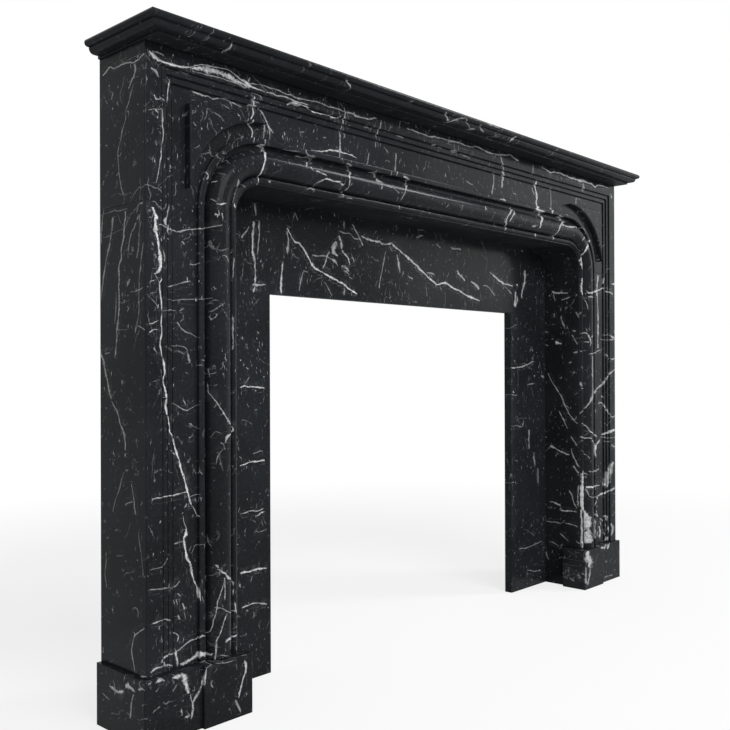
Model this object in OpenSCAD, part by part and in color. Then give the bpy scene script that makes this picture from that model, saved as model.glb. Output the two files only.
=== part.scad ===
// Marble fireplace surround: an arched lintel with a continuous roll moulding on two legs,
// plinth blocks, a moulded shelf and plain slips round the fire opening.
// Frame: X to the right along the front, Y into the wall, Z up from the hearth.
// The origin is on the hearth, at the middle of the footprint of the whole surround.

/* [Overall] */
// Height of the shelf's top above the hearth
total_h = 1100; // [1040:5:1300]
// Width across the outer faces of the two legs
body_w = 1485; // [1350:5:1900]
// Depth from the wall to the flat front of the legs
body_d = 131; // [120:1:180]

/* [Stone] */
// Depth of the front stones, from the flat band to their backs
front_t = 50; // [44:1:60]
// Thickness of the side slabs, the inner slabs and the soffit
slab_t = 20; // [15:1:25]
// Thickness of the slips round the fire opening
slip_t = 20; // [15:1:25]
// Thickness of the resin bed in each level joint
bed_t = 1; // [0.5:0.5:2]

/* [Border] */
// Width of the flat band along the outer edges
band_w = 30; // [20:1:36]
// Width of each tread of the stepped border
step_w = 11; // [7:1:13]
// Depth of each step
step_d = 3; // [2:0.5:3.5]
// Number of steps between the band and the field
step_count = 3; // [2:1:3]
// Width of the flat field on the legs
leg_field_w = 48; // [30:1:54]
// Height of the flat field on the lintel
lintel_field_h = 53; // [40:1:70]

/* [Roll moulding] */
// Width of the flat fillet along the outer side of the moulding
fillet_w = 11; // [8:0.5:14]
// Setback of the fillet and of the bead from the flat band
fillet_back = 1.5; // [0.5:0.5:2.5]
// Width of the hollow between the fillet and the roll
quirk_w = 9; // [5:0.5:12]
// Depth of that hollow from the flat band
quirk_d = 14; // [12:0.5:16]
// Radius of the half-round roll
roll_r = 23; // [19:0.5:24]
// Radius of the bead along the opening
bead_r = 5.5; // [4:0.25:6]
// Width of the flat margin between the bead and the opening's edge
margin_w = 3; // [2:0.5:5]
// Radius of the opening's upper corners
arch_r = 57; // [45:1:80]

/* [Spandrels] */
// Gap between a spandrel panel and the stepped border
spandrel_gap = 27; // [20:1:32]
// Gap between a spandrel panel and the roll moulding
spandrel_arch_gap = 25; // [20:1:32]
// Height of a spandrel panel above the field
spandrel_rise = 14; // [8:1:16]

/* [Plinths] */
// Height of the plinths
plinth_h = 100; // [80:5:140]
// Projection of a plinth from the leg's outer face
plinth_side = 8; // [4:1:12]
// Projection of a plinth from the flat band
plinth_front = 8; // [4:1:10]
// Projection of the inner block from the flat band
block_front = 15; // [12:1:20]
// Width of the inner block beyond the roll moulding on its outer side
block_outer = 3.5; // [2:0.5:6]
// Projection of the inner block into the fire opening
block_inner = 14; // [8:1:20]

/* [Shelf] */
// Thickness of the shelf
shelf_t = 27; // [25:1:30]
// Overhang of the shelf in front of the flat band
shelf_front = 61; // [50:1:90]
// Overhang of the shelf beyond each leg's outer face
shelf_side = 27; // [27:1:60]
// Height of the half-round nose
nose_h = 12; // [10:0.5:13]
// Height of the square quirk under the nose
shelf_quirk_h = 1.5; // [1:0.5:2]
// Setback of the quirk under the nose
nose_back = 8; // [7:0.5:9]
// Radius of the ovolo under the nose
ovolo_r = 8.5; // [7:0.5:9]
// Setback of the small square member under the ovolo
fillet_set = 24; // [20:0.5:26]

/* [Slips and fire opening] */
// Width of the fire opening
fire_w = 802; // [600:2:900]
// Height of the fire opening
fire_h = 713; // [560:1:760]

/* [Fixings] */
// Diameter of the dowels
dowel_dia = 8; // [6:1:10]
// Length of the dowels
dowel_l = 60; // [40:2:70]
// Depth of the shelf's dowels in the shelf
shelf_grip = 18; // [12:1:20]
// Resin film round each dowel and each screw
film = 0.2; // [0.1:0.05:0.3]
// Distance of the dowels from the long edges of a leg's front stone
dowel_inset = 40; // [32:1:50]
// Side of the square corner blocks
block_s = 38; // [25:1:45]
// Height of the corner blocks
corner_block_h = 90; // [60:5:120]
// Height of the lowest corner blocks above the foot of the legs
block_low = 60; // [20:5:80]
// Height from one corner block on a leg to the next
block_pitch = 240; // [150:10:250]
// Distance between the cleats over the soffit
cleat_pitch = 340; // [200:10:380]
// Length of each arm of the wall brackets
bracket_arm = 38; // [32:1:45]
// Height of the wall brackets
bracket_h = 40; // [30:1:60]
// Height of the lower wall brackets above the foot of the legs
bracket_low = 220; // [150:10:220]
// Height from the lower to the upper wall brackets
bracket_pitch = 290; // [200:10:300]
// Depth of the lintel's brackets below the lintel's top
bracket_drop = 60; // [40:5:80]
// Height of the lintel's corner blocks above the springing
block_foot = 20; // [10:5:25]
// Thickness of the wall brackets
bracket_t = 3; // [2:0.5:4]
// Diameter of the screw hole in the arm on the wall
wall_hole_dia = 7; // [5:0.5:9]
// Diameter of the screws that hold the brackets to the stone
screw_dia = 6; // [5:0.5:8]
// Depth of those screws in the stone
screw_grip = 14; // [10:0.5:16]
// Head diameter of those screws
screw_head_dia = 12; // [10:0.5:14]
// Head height of those screws
screw_head_h = 4; // [3:0.5:5]

/* [Hidden] */

// Smoothness of round stone, dowels and holes
$fn = 96;
// Extra length of a cut past the face that it opens
past = 1;

marble = [0.10, 0.10, 0.11];
resin = [0.05, 0.05, 0.05];
steel = [0.62, 0.63, 0.64];
offcut = [0.16, 0.16, 0.17];

// Planes across the depth
total_d = body_d + shelf_front;
wall_y = total_d / 2;
band_y = wall_y - body_d;
stone_back_y = band_y + front_t;
field_y = band_y + step_count * step_d;
slip_y = wall_y - slip_t;

// Heights
shelf_z = total_h - shelf_t;
lintel_top_z = shelf_z - bed_t;
border_w = band_w + (step_count - 1) * step_w;
moulding_w = fillet_w + quirk_w + 2 * roll_r + 2 * bead_r + margin_w;
opening_h = lintel_top_z - border_w - lintel_field_h - moulding_w;
spring_z = opening_h - arch_r;
leg_top_z = spring_z - bed_t;
leg_z = plinth_h + bed_t;

// Places across the width, measured from the middle
body_x = body_w / 2;
leg_w = border_w + leg_field_w + moulding_w;
opening_x = body_x - leg_w;
arch_x = opening_x - arch_r;
arch_outer_r = arch_r + moulding_w;
inner_slab_x = opening_x + slab_t;
return_x = body_x - slab_t;
fire_x = fire_w / 2;

// Middle of the roll and of the bead, measured from the moulding's outer edge
roll_s = fillet_w + quirk_w + roll_r;
bead_s = roll_s + roll_r + bead_r;

// Spandrel panel
spandrel_x = body_x - border_w - spandrel_gap;
spandrel_z = lintel_top_z - border_w - spandrel_gap;
spandrel_r = arch_outer_r + spandrel_arch_gap;
spandrel_y = field_y - spandrel_rise;

// Plinth
plinth_x = body_x + plinth_side;
block_x = opening_x + moulding_w + block_outer;
block_in_x = opening_x - block_inner;

// Fixings
dowel_r = dowel_dia / 2;
dowel_y = band_y + (front_t + quirk_d) / 2;
leg_dowel_x = [body_x - dowel_inset, opening_x + dowel_inset];
leg_block_z = [for (i = [0 : 2]) leg_z + block_low + i * block_pitch];
leg_bracket_z = [for (i = [0 : 1]) leg_z + bracket_low + i * bracket_pitch];
lintel_bracket_z = lintel_top_z - bracket_drop;
bracket_hole_x = return_x - bracket_arm / 2 - bracket_t / 2;
bracket_hole_y = wall_y - bracket_arm / 2 - bracket_t / 2;
shelf_dowel_x = [-opening_x, 0, opening_x];
soffit_cleat_x = [-cleat_pitch, 0, cleat_pitch];
shelf_dowel_z = shelf_z + shelf_grip - dowel_l / 2;

// Outline of the moulding, S inward from its outer edge and Y back from the flat band.
module moulding_section() {
    // body behind the roll, the fillet, and the ground of the bead
    translate([0, quirk_d])
        square([moulding_w, front_t - quirk_d]);
    translate([0, fillet_back])
        square([fillet_w, front_t - fillet_back]);
    translate([roll_s + roll_r, fillet_back + bead_r])
        square([2 * bead_r + margin_w, front_t - fillet_back - bead_r]);
    // the half-round roll and the bead
    translate([roll_s, quirk_d])
        circle(r = roll_r);
    translate([bead_s, fillet_back + bead_r])
        circle(r = bead_r);
}

// Outline of the stepped border and the field, X inward from the outer face and Y back.
module border_section(width) {
    square([band_w, front_t]);
    for (i = [1 : step_count - 1])
        translate([0, i * step_d])
            square([band_w + i * step_w, front_t - i * step_d]);
    translate([0, step_count * step_d])
        square([width, front_t - step_count * step_d]);
}

// Plan of a leg's front stone on the right side, in the part's own X and Y.
module leg_plan() {
    translate([body_x, band_y])
        mirror([1, 0]) {
            border_section(border_w + leg_field_w + fillet_w / 2);
            translate([border_w + leg_field_w, 0])
                moulding_section();
        }
}

// Face outline with the opening's rounded upper corners, drawn in X and Z.
module opening_face(top, half, radius) {
    translate([-half, 0])
        square([2 * half, top - radius]);
    translate([-half + radius, 0])
        square([2 * (half - radius), top]);
    for (side = [-1, 1])
        translate([side * (half - radius), top - radius])
            circle(r = radius);
}

// Stands a drawing in X and Z upright between two Y planes.
module stand(y0, y1) {
    translate([0, y1, 0])
        rotate([90, 0, 0])
            linear_extrude(y1 - y0)
                children();
}

// Draws the same thing on the right side, on the left side, or on both.
module on_side(side) {
    if (side > 0)
        children();
    else
        mirror([1, 0, 0])
            children();
}

module both_sides() {
    for (side = [-1, 1])
        on_side(side)
            children();
}

module upright_dowel(x, y, z, radius, length) {
    translate([x, y, z - length / 2])
        cylinder(r = radius, h = length);
}

// Holes for dowels are a film wider than the dowels, and a film longer at each end.
module dowel_hole(x, y, z) {
    upright_dowel(x, y, z, dowel_r + film, dowel_l + 2 * film);
}

module leg_dowel_holes(z) {
    for (x = leg_dowel_x)
        dowel_hole(x, dowel_y, z);
}

// Section of the shelf's moulded edge, X back from the nose and Z down from the top.
module shelf_edge_section(reach) {
    ovolo_z = nose_h + shelf_quirk_h;
    mirror([0, 1]) {
        translate([nose_h / 2, nose_h / 2])
            circle(r = nose_h / 2);
        translate([nose_h / 2, 0])
            square([reach - nose_h / 2, nose_h]);
        translate([nose_back, 0])
            square([reach - nose_back, ovolo_z]);
        translate([nose_back + ovolo_r, ovolo_z])
            intersection() {
                circle(r = ovolo_r);
                translate([-ovolo_r, 0])
                    square([2 * ovolo_r, ovolo_r]);
            }
        translate([nose_back + ovolo_r, ovolo_z])
            square([reach - nose_back - ovolo_r, ovolo_r]);
        translate([fillet_set, ovolo_z])
            square([reach - fillet_set, shelf_t - ovolo_z]);
    }
}

// The shelf's two-way mitred edge: the front section and the end sections cut each other.
module mantel_shelf() {
    half = body_x + shelf_side;
    color(marble)
        difference() {
            intersection() {
                translate([-half, wall_y - total_d, total_h])
                    rotate([90, 0, 90])
                        linear_extrude(2 * half)
                            shelf_edge_section(total_d);
                both_sides()
                    translate([half, wall_y, total_h])
                        mirror([1, 0, 0])
                            rotate([90, 0, 0])
                                linear_extrude(total_d)
                                    shelf_edge_section(half);
            }
            for (x = shelf_dowel_x)
                dowel_hole(x, dowel_y, shelf_dowel_z);
        }
}

module shelf_bed() {
    color(resin)
        difference() {
            translate([-body_x, band_y, lintel_top_z])
                cube([body_w, body_d, bed_t]);
            translate([-return_x, stone_back_y, lintel_top_z - past])
                cube([2 * return_x, body_d, bed_t + 2 * past]);
            for (x = shelf_dowel_x)
                dowel_hole(x, dowel_y, shelf_dowel_z);
        }
}

// One quarter of the moulding round an upper corner, from the springing to the straight run.
module moulding_corner() {
    translate([arch_x, band_y, spring_z])
        rotate([90, 0, 0])
            mirror([0, 0, 1])
                rotate_extrude(angle = 90)
                    translate([arch_outer_r, 0])
                        mirror([1, 0])
                            moulding_section();
}

module moulding_run() {
    translate([-arch_x, band_y, spring_z + arch_outer_r])
        rotate([90, 0, 90])
            linear_extrude(2 * arch_x)
                rotate([0, 0, -90])
                    moulding_section();
}

// Stepped border on the top and the two ends of the lintel, with the field inside it.
module lintel_ground() {
    stand(band_y, stone_back_y)
        difference() {
            lintel_outline(0);
            lintel_inside(band_w);
        }
    for (i = [1 : step_count - 1])
        stand(band_y + i * step_d, stone_back_y)
            difference() {
                lintel_outline(0);
                lintel_inside(band_w + i * step_w);
            }
    stand(field_y, stone_back_y)
        difference() {
            lintel_outline(0);
            opening_face(spring_z + arch_outer_r - fillet_w / 2, arch_x + arch_outer_r - fillet_w / 2,
                         arch_outer_r - fillet_w / 2);
        }
}

module lintel_outline(inset) {
    translate([-body_x + inset, spring_z])
        square([body_w - 2 * inset, lintel_top_z - spring_z - inset]);
}

module lintel_inside(inset) {
    translate([-body_x + inset, 0])
        square([body_w - 2 * inset, lintel_top_z - inset]);
}

// Raised three-sided panel that follows the arch on its hollow side.
module spandrel_panel() {
    stand(spandrel_y, stone_back_y - past)
        difference() {
            translate([arch_x, spring_z])
                square([spandrel_x - arch_x, spandrel_z - spring_z]);
            translate([arch_x, spring_z])
                circle(r = spandrel_r);
        }
}

module lintel() {
    color(marble)
        difference() {
            union() {
                lintel_ground();
                both_sides() {
                    moulding_corner();
                    spandrel_panel();
                }
                moulding_run();
            }
            both_sides()
                leg_dowel_holes(spring_z - bed_t / 2);
            for (x = shelf_dowel_x)
                dowel_hole(x, dowel_y, shelf_dowel_z);
        }
}

module side_slab(x0, z0, z1, holes_z) {
    difference() {
        translate([x0, stone_back_y, z0])
            cube([slab_t, body_d - front_t, z1 - z0]);
        for (z = holes_z)
            translate([x0, bracket_hole_y, z])
                rotate([0, 90, 0])
                    translate([0, 0, -past])
                        cylinder(d = screw_dia + 2 * film, h = screw_grip + film + past);
    }
}

module lintel_return_left() {
    color(marble)
        on_side(-1)
            side_slab(return_x, spring_z, lintel_top_z, [lintel_bracket_z]);
}

module lintel_return_right() {
    color(marble)
        side_slab(return_x, spring_z, lintel_top_z, [lintel_bracket_z]);
}

// The resin beds at the springing lie under the lintel, its returns and the soffit.
module lintel_beds() {
    color(resin)
        both_sides()
            difference() {
                translate([0, 0, leg_top_z])
                    linear_extrude(bed_t) {
                        leg_plan();
                        translate([return_x, stone_back_y])
                            square([slab_t, body_d - front_t]);
                        translate([opening_x, stone_back_y])
                            square([slab_t, slip_y - stone_back_y]);
                    }
                leg_dowel_holes(spring_z - bed_t / 2);
            }
}

module leg_stone() {
    difference() {
        translate([0, 0, leg_z])
            linear_extrude(leg_top_z - leg_z)
                leg_plan();
        leg_dowel_holes(spring_z - bed_t / 2);
        leg_dowel_holes(leg_z - bed_t / 2);
    }
}

module jamb_left() {
    color(marble)
        on_side(-1)
            leg_stone();
}

module jamb_right() {
    color(marble)
        leg_stone();
}

module jamb_return_left() {
    color(marble)
        on_side(-1)
            side_slab(return_x, leg_z, leg_top_z, leg_bracket_z);
}

module jamb_return_right() {
    color(marble)
        side_slab(return_x, leg_z, leg_top_z, leg_bracket_z);
}

// The resin beds between the plinths and the legs.
module jamb_beds() {
    color(resin)
        both_sides()
            difference() {
                translate([0, 0, plinth_h])
                    linear_extrude(bed_t) {
                        leg_plan();
                        translate([return_x, stone_back_y])
                            square([slab_t, body_d - front_t]);
                    }
                leg_dowel_holes(leg_z - bed_t / 2);
            }
}

module ingoing() {
    translate([opening_x, stone_back_y, 0])
        cube([slab_t, slip_y - stone_back_y, leg_top_z]);
}

module ingoing_left() {
    color(marble)
        on_side(-1)
            ingoing();
}

module ingoing_right() {
    color(marble)
        ingoing();
}

// One stone with rounded corners behind the lintel, from springing to springing.
module soffit() {
    color(marble)
        stand(stone_back_y, slip_y)
            difference() {
                translate([-inner_slab_x, spring_z])
                    square([2 * inner_slab_x, opening_h + slab_t - spring_z]);
                opening_face(opening_h, opening_x, arch_r);
            }
}

// Front stone of a plinth, with the inner block forward of the outer part.
module plinth_stone() {
    difference() {
        union() {
            translate([block_in_x, band_y - plinth_front, 0])
                cube([plinth_x - block_in_x, plinth_front + front_t, plinth_h]);
            translate([block_in_x, band_y - block_front, 0])
                cube([block_x - block_in_x, block_front + front_t, plinth_h]);
        }
        leg_dowel_holes(leg_z - bed_t / 2);
    }
}

module plinth_left() {
    color(marble)
        on_side(-1)
            plinth_stone();
}

module plinth_right() {
    color(marble)
        plinth_stone();
}

module plinth_return() {
    translate([plinth_x - slab_t - plinth_side, stone_back_y, 0])
        cube([slab_t + plinth_side, body_d - front_t, plinth_h]);
}

module plinth_return_left() {
    color(marble)
        on_side(-1)
            plinth_return();
}

module plinth_return_right() {
    color(marble)
        plinth_return();
}

// The slips lie flat against the wall, behind the ingoings and the soffit.
module header_slip() {
    color(marble)
        translate([-inner_slab_x, slip_y, fire_h + bed_t])
            cube([2 * inner_slab_x, slip_t, opening_h + slab_t - fire_h - bed_t]);
}

module upright_slip() {
    translate([fire_x, slip_y, 0])
        cube([inner_slab_x - fire_x, slip_t, fire_h]);
}

module slip_left() {
    color(marble)
        on_side(-1)
            upright_slip();
}

module slip_right() {
    color(marble)
        upright_slip();
}

module slip_beds() {
    color(resin)
        both_sides()
            translate([fire_x, slip_y, fire_h])
                cube([inner_slab_x - fire_x, slip_t, bed_t]);
}

module shelf_dowels() {
    color(steel)
        for (x = shelf_dowel_x)
            upright_dowel(x, dowel_y, shelf_dowel_z, dowel_r, dowel_l);
}

module lintel_dowels() {
    color(steel)
        both_sides()
            for (x = leg_dowel_x)
                upright_dowel(x, dowel_y, spring_z - bed_t / 2, dowel_r, dowel_l);
}

module plinth_dowels() {
    color(steel)
        both_sides()
            for (x = leg_dowel_x)
                upright_dowel(x, dowel_y, leg_z - bed_t / 2, dowel_r, dowel_l);
}

// Stone offcuts glued into the corners between a front stone and the slabs behind it.
module leg_corner_blocks() {
    for (z = leg_block_z)
        for (x = [return_x - block_s, inner_slab_x])
            translate([x, stone_back_y, z])
                cube([block_s, block_s, corner_block_h]);
}

module corner_blocks_left() {
    color(offcut)
        on_side(-1)
            leg_corner_blocks();
}

module corner_blocks_right() {
    color(offcut)
        leg_corner_blocks();
}

module lintel_corner_blocks() {
    color(offcut)
        both_sides()
            translate([return_x - block_s, stone_back_y, spring_z + block_foot])
                cube([block_s, block_s, corner_block_h]);
}

// Offcuts that carry the soffit on the back of the lintel.
module soffit_cleats() {
    color(offcut)
        for (x = soffit_cleat_x)
            translate([x - corner_block_h / 2, stone_back_y, opening_h + slab_t])
                cube([corner_block_h, block_s, block_s]);
}

// Rail along the lintel's back, flush with its top, under the back of the shelf.
module shelf_support() {
    color(offcut)
        translate([-arch_x, stone_back_y, lintel_top_z + bed_t - block_s])
            cube([2 * arch_x, block_s, block_s]);
}

module wall_bracket(z) {
    difference() {
        union() {
            translate([return_x - bracket_arm, wall_y - bracket_t, z - bracket_h / 2])
                cube([bracket_arm, bracket_t, bracket_h]);
            translate([return_x - bracket_t, wall_y - bracket_arm, z - bracket_h / 2])
                cube([bracket_t, bracket_arm, bracket_h]);
        }
        translate([bracket_hole_x, wall_y + past, z])
            rotate([90, 0, 0])
                cylinder(d = wall_hole_dia, h = bracket_t + 2 * past);
        translate([return_x - bracket_t - past, bracket_hole_y, z])
            rotate([0, 90, 0])
                cylinder(d = screw_dia + 2 * film, h = bracket_t + 2 * past);
    }
}

module leg_brackets() {
    color(steel)
        both_sides()
            for (z = leg_bracket_z)
                wall_bracket(z);
}

module lintel_brackets() {
    color(steel)
        both_sides()
            wall_bracket(lintel_bracket_z);
}

module bracket_screw(z) {
    translate([return_x - bracket_t - screw_head_h, bracket_hole_y, z])
        rotate([0, 90, 0]) {
            cylinder(d = screw_head_dia, h = screw_head_h);
            cylinder(d = screw_dia, h = screw_head_h + bracket_t + screw_grip);
        }
}

module leg_bracket_screws() {
    color(steel)
        both_sides()
            for (z = leg_bracket_z)
                bracket_screw(z);
}

module lintel_bracket_screws() {
    color(steel)
        both_sides()
            bracket_screw(lintel_bracket_z);
}

mantel_shelf();
shelf_bed();
lintel();
lintel_return_left();
lintel_return_right();
lintel_beds();
jamb_left();
jamb_right();
jamb_return_left();
jamb_return_right();
jamb_beds();
ingoing_left();
ingoing_right();
soffit();
plinth_left();
plinth_right();
plinth_return_left();
plinth_return_right();
header_slip();
slip_left();
slip_right();
slip_beds();
shelf_dowels();
lintel_dowels();
plinth_dowels();
corner_blocks_left();
corner_blocks_right();
lintel_corner_blocks();
soffit_cleats();
shelf_support();
leg_brackets();
lintel_brackets();
leg_bracket_screws();
lintel_bracket_screws();
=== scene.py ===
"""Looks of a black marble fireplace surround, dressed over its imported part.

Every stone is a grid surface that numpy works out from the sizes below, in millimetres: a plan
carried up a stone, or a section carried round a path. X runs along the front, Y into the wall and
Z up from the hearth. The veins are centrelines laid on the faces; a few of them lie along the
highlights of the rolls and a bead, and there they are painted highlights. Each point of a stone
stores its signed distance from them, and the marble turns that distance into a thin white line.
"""

import logging
import math
from collections.abc import Callable, Sequence
from dataclasses import dataclass
from enum import Enum
from typing import ClassVar

import bmesh
import bpy
import numpy as np
from mathutils import Matrix, Vector


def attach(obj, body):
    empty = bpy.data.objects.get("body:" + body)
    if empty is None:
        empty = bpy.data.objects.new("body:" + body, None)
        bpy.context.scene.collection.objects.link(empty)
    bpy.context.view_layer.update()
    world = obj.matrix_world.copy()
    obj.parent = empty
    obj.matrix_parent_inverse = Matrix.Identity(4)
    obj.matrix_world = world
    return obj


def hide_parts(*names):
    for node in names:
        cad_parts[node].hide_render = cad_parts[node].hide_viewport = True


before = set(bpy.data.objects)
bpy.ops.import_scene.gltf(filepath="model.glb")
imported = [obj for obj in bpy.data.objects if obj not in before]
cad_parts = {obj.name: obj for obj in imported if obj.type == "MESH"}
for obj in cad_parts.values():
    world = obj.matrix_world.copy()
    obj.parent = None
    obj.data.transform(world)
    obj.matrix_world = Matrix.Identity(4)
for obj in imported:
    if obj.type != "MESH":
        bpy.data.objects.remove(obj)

LOG = logging.getLogger("surround")
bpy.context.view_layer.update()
MM = 0.001
NET_STEP = 4.5  # longest face of a moulded stone, in millimetres
SLAB_STEP = 5.0  # longest face of a plain slab, in millimetres
ARRIS_ROWS = 5  # rows of points round an arris
HOLD = 0.6  # distance of a supporting row from an arris, in millimetres
WELD = 2e-6  # points closer than this are merged, in metres
SHARP = 32  # edges above this angle stay sharp in the shading, in degrees
CHANNELS = 6  # veins that may lie near one point of a stone
FAR = 50.0  # distance stored where no vein is near, in half widths
Array = np.ndarray
Test = Callable[[Array], Array]
Socket = bpy.types.NodeSocket
Triple = tuple[float, float, float]


class Side(Enum):
    """The two halves of the surround."""

    LEFT = "left"
    RIGHT = "right"


class Plane(Enum):
    """The plane in which a face's veins are drawn: its two axes and what is added to the first."""

    FRONT = (0, 2, 0.0)
    SIDE = (1, 2, 35.0)


# Chains of points --------------------------------------------------------------------------


def arc(centre: tuple[float, float], radius: float, start: float, end: float, count: int) -> Array:
    """Points on a circular arc: the centre plus the radius times cosine and sine.

    Args:
        centre: Middle of the circle.
        radius: Its radius.
        start: First angle in degrees.
        end: Last angle in degrees.
        count: Number of points.

    Returns:
        One row for each point.
    """
    angle = np.radians(np.linspace(start, end, count))
    return np.column_stack([centre[0] + radius * np.cos(angle), centre[1] + radius * np.sin(angle)])


def ease(corners: Sequence[Triple], steps: int = 4) -> Array:
    """Rounds the corners of an open chain.

    Each corner p with radius r becomes the curve (1-t)^2 a + 2 t (1-t) p + t^2 b between the
    points a and b that lie r before and r after it, with a support point outside each of them.

    Args:
        corners: Place and radius of each corner; a radius of 0 keeps it sharp.
        steps: Stretches in each rounded corner.

    Returns:
        One row for each point of the rounded chain.
    """
    places = np.array([c[:2] for c in corners], float)
    share = np.linspace(0.0, 1.0, steps + 1)[:, None]
    parts = [places[:1]]
    for i in range(1, len(places) - 1):
        here, radius = places[i], corners[i][2]
        if radius <= 0.0:
            parts.append(here[None])
            continue
        before, after = places[i - 1] - here, places[i + 1] - here
        room_a, room_b = np.linalg.norm(before), np.linalg.norm(after)
        reach = min(radius, 0.45 * room_a, 0.45 * room_b)
        a, b = here + before / room_a * reach, here + after / room_b * reach
        edge = (1 - share) ** 2 * a + 2 * share * (1 - share) * here + share**2 * b
        hold = min(0.5, 0.2 * reach + 0.1)
        parts += [(a + before / room_a * hold)[None], edge, (b + after / room_b * hold)[None]]
    parts.append(places[-1:])
    return np.vstack(parts)


def spread(chain: Array, step: float) -> Array:
    """Divides each stretch of a chain evenly so that none is longer than the step.

    Args:
        chain: Points in order.
        step: Longest stretch allowed.

    Returns:
        The chain with the added points.
    """
    a, b = chain[:-1], chain[1:]
    count = np.maximum(1, np.ceil(np.linalg.norm(b - a, axis=1) / step - 1e-6)).astype(int)
    index = np.repeat(np.arange(len(a)), count)
    share = (np.arange(count.sum()) - np.repeat(np.cumsum(count) - count, count)) / count[index]
    return np.vstack([a[index] + (b - a)[index] * share[:, None], chain[-1:]])


def pulled_in(chain: Array, distance: float) -> Array:
    """Moves a chain of X and Y sideways into the stone, on its right hand side.

    Args:
        chain: Points from the back on one side, round the front, to the back on the other.
        distance: How far each point moves along the mean of the normals of its two stretches.

    Returns:
        The moved chain.
    """
    ahead = np.diff(chain, axis=0)
    ahead /= np.maximum(np.linalg.norm(ahead, axis=1, keepdims=True), 1e-9)
    normal = np.column_stack([-ahead[:, 1], ahead[:, 0]])
    mean = np.vstack([normal[:1], normal[:-1] + normal[1:], normal[-1:]])
    mean /= np.maximum(np.linalg.norm(mean, axis=1, keepdims=True), 1e-9)
    return chain + mean * distance


# Skins -------------------------------------------------------------------------------------


@dataclass
class Skin:
    """Points and four-sided faces of one stone."""

    points: Array
    faces: Array

    @classmethod
    def grid(cls, net: Array, closed: bool = False) -> "Skin":
        """Faces between the neighbours of a net of points.

        Args:
            net: Rows by columns by three.
            closed: Whether the last row joins the first.

        Returns:
            The skin of the net.
        """
        rows, cols = net.shape[:2]
        index = np.arange(rows * cols).reshape(rows, cols)
        if closed:
            index = np.vstack([index, index[:1]])
        corners = [index[:-1, :-1], index[1:, :-1], index[1:, 1:], index[:-1, 1:]]
        return cls(net.reshape(-1, 3), np.stack(corners, axis=-1).reshape(-1, 4))

    @classmethod
    def ruled(cls, first: Array, last: Array, rows: int = 1) -> "Skin":
        """Straight lines from each point of one chain to the same point of another.

        Args:
            first: Points of the one chain in space.
            last: As many points of the other.
            rows: Faces along each line.

        Returns:
            The skin between the chains.
        """
        share = np.linspace(0.0, 1.0, rows + 1)[:, None, None]
        return cls.grid(first[None] * (1 - share) + last[None] * share)

    @classmethod
    def joined(cls, *skins: "Skin") -> "Skin":
        """Puts several skins into one, with each one's face numbers moved past the ones before.

        Args:
            skins: The skins in order.

        Returns:
            One skin with all their points and faces.
        """
        start = np.cumsum([0] + [len(s.points) for s in skins[:-1]])
        faces = [s.faces + at for s, at in zip(skins, start)]
        return cls(np.vstack([s.points for s in skins]), np.vstack(faces))

    def mirrored(self) -> "Skin":
        """The same skin on the other side of the middle; its faces are turned by the weld."""
        return Skin(self.points * np.array([-1.0, 1.0, 1.0]), self.faces)


def at_height(chain: Array, height: float) -> Array:
    """Puts a chain of X and Y at a height."""
    return np.column_stack([chain, np.full(len(chain), height)])


def at_depth(chain: Array, depth: float | Array) -> Array:
    """Puts a chain of X and Z at a depth."""
    return np.column_stack([chain[:, 0], np.broadcast_to(depth, len(chain)), chain[:, 1]])


def upright(front: Array, back: float, low: float, high: float, foot: float, head: float,
            step: float = 9.0) -> Skin:
    """Carries a plan up a stone.

    A row at height z holds the front chain, pulled in by r - sqrt(r^2 - (r - h)^2) where it is
    closer than r to an end, h being its distance from that end, and a straight back behind it.

    Args:
        front: Plan in X and Y from the back on the left round the front to the back on the right.
        back: Y of the flat back.
        low: Height of the foot.
        high: Height of the head.
        foot: Radius of the arris round the foot.
        head: Radius of the arris round the head.
        step: Longest face along the height.

    Returns:
        The closed skin.
    """
    turn = np.radians(np.linspace(0.0, 90.0, ARRIS_ROWS))
    foot_z, foot_in = low + foot * (1 - np.sin(turn)), foot * (1 - np.cos(turn))
    head_z, head_in = high - head * (1 - np.sin(turn)), head * (1 - np.cos(turn))
    middle = spread(np.array([[low + foot + HOLD, 0.0], [high - head - HOLD, 0.0]]), step)[:, 0]
    height = np.concatenate([foot_z[::-1], middle, head_z])
    inset = np.concatenate([foot_in[::-1], np.zeros(len(middle)), head_in])
    fronts = np.stack([at_height(pulled_in(front, i), z) for z, i in zip(height, inset)])
    backs = fronts.copy()
    backs[:, :, 1] = back
    ends = [Skin.ruled(fronts[row], backs[row]) for row in (0, -1)]
    return Skin.joined(Skin.grid(fronts), Skin.grid(backs), *ends)


# Veins -------------------------------------------------------------------------------------


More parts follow.
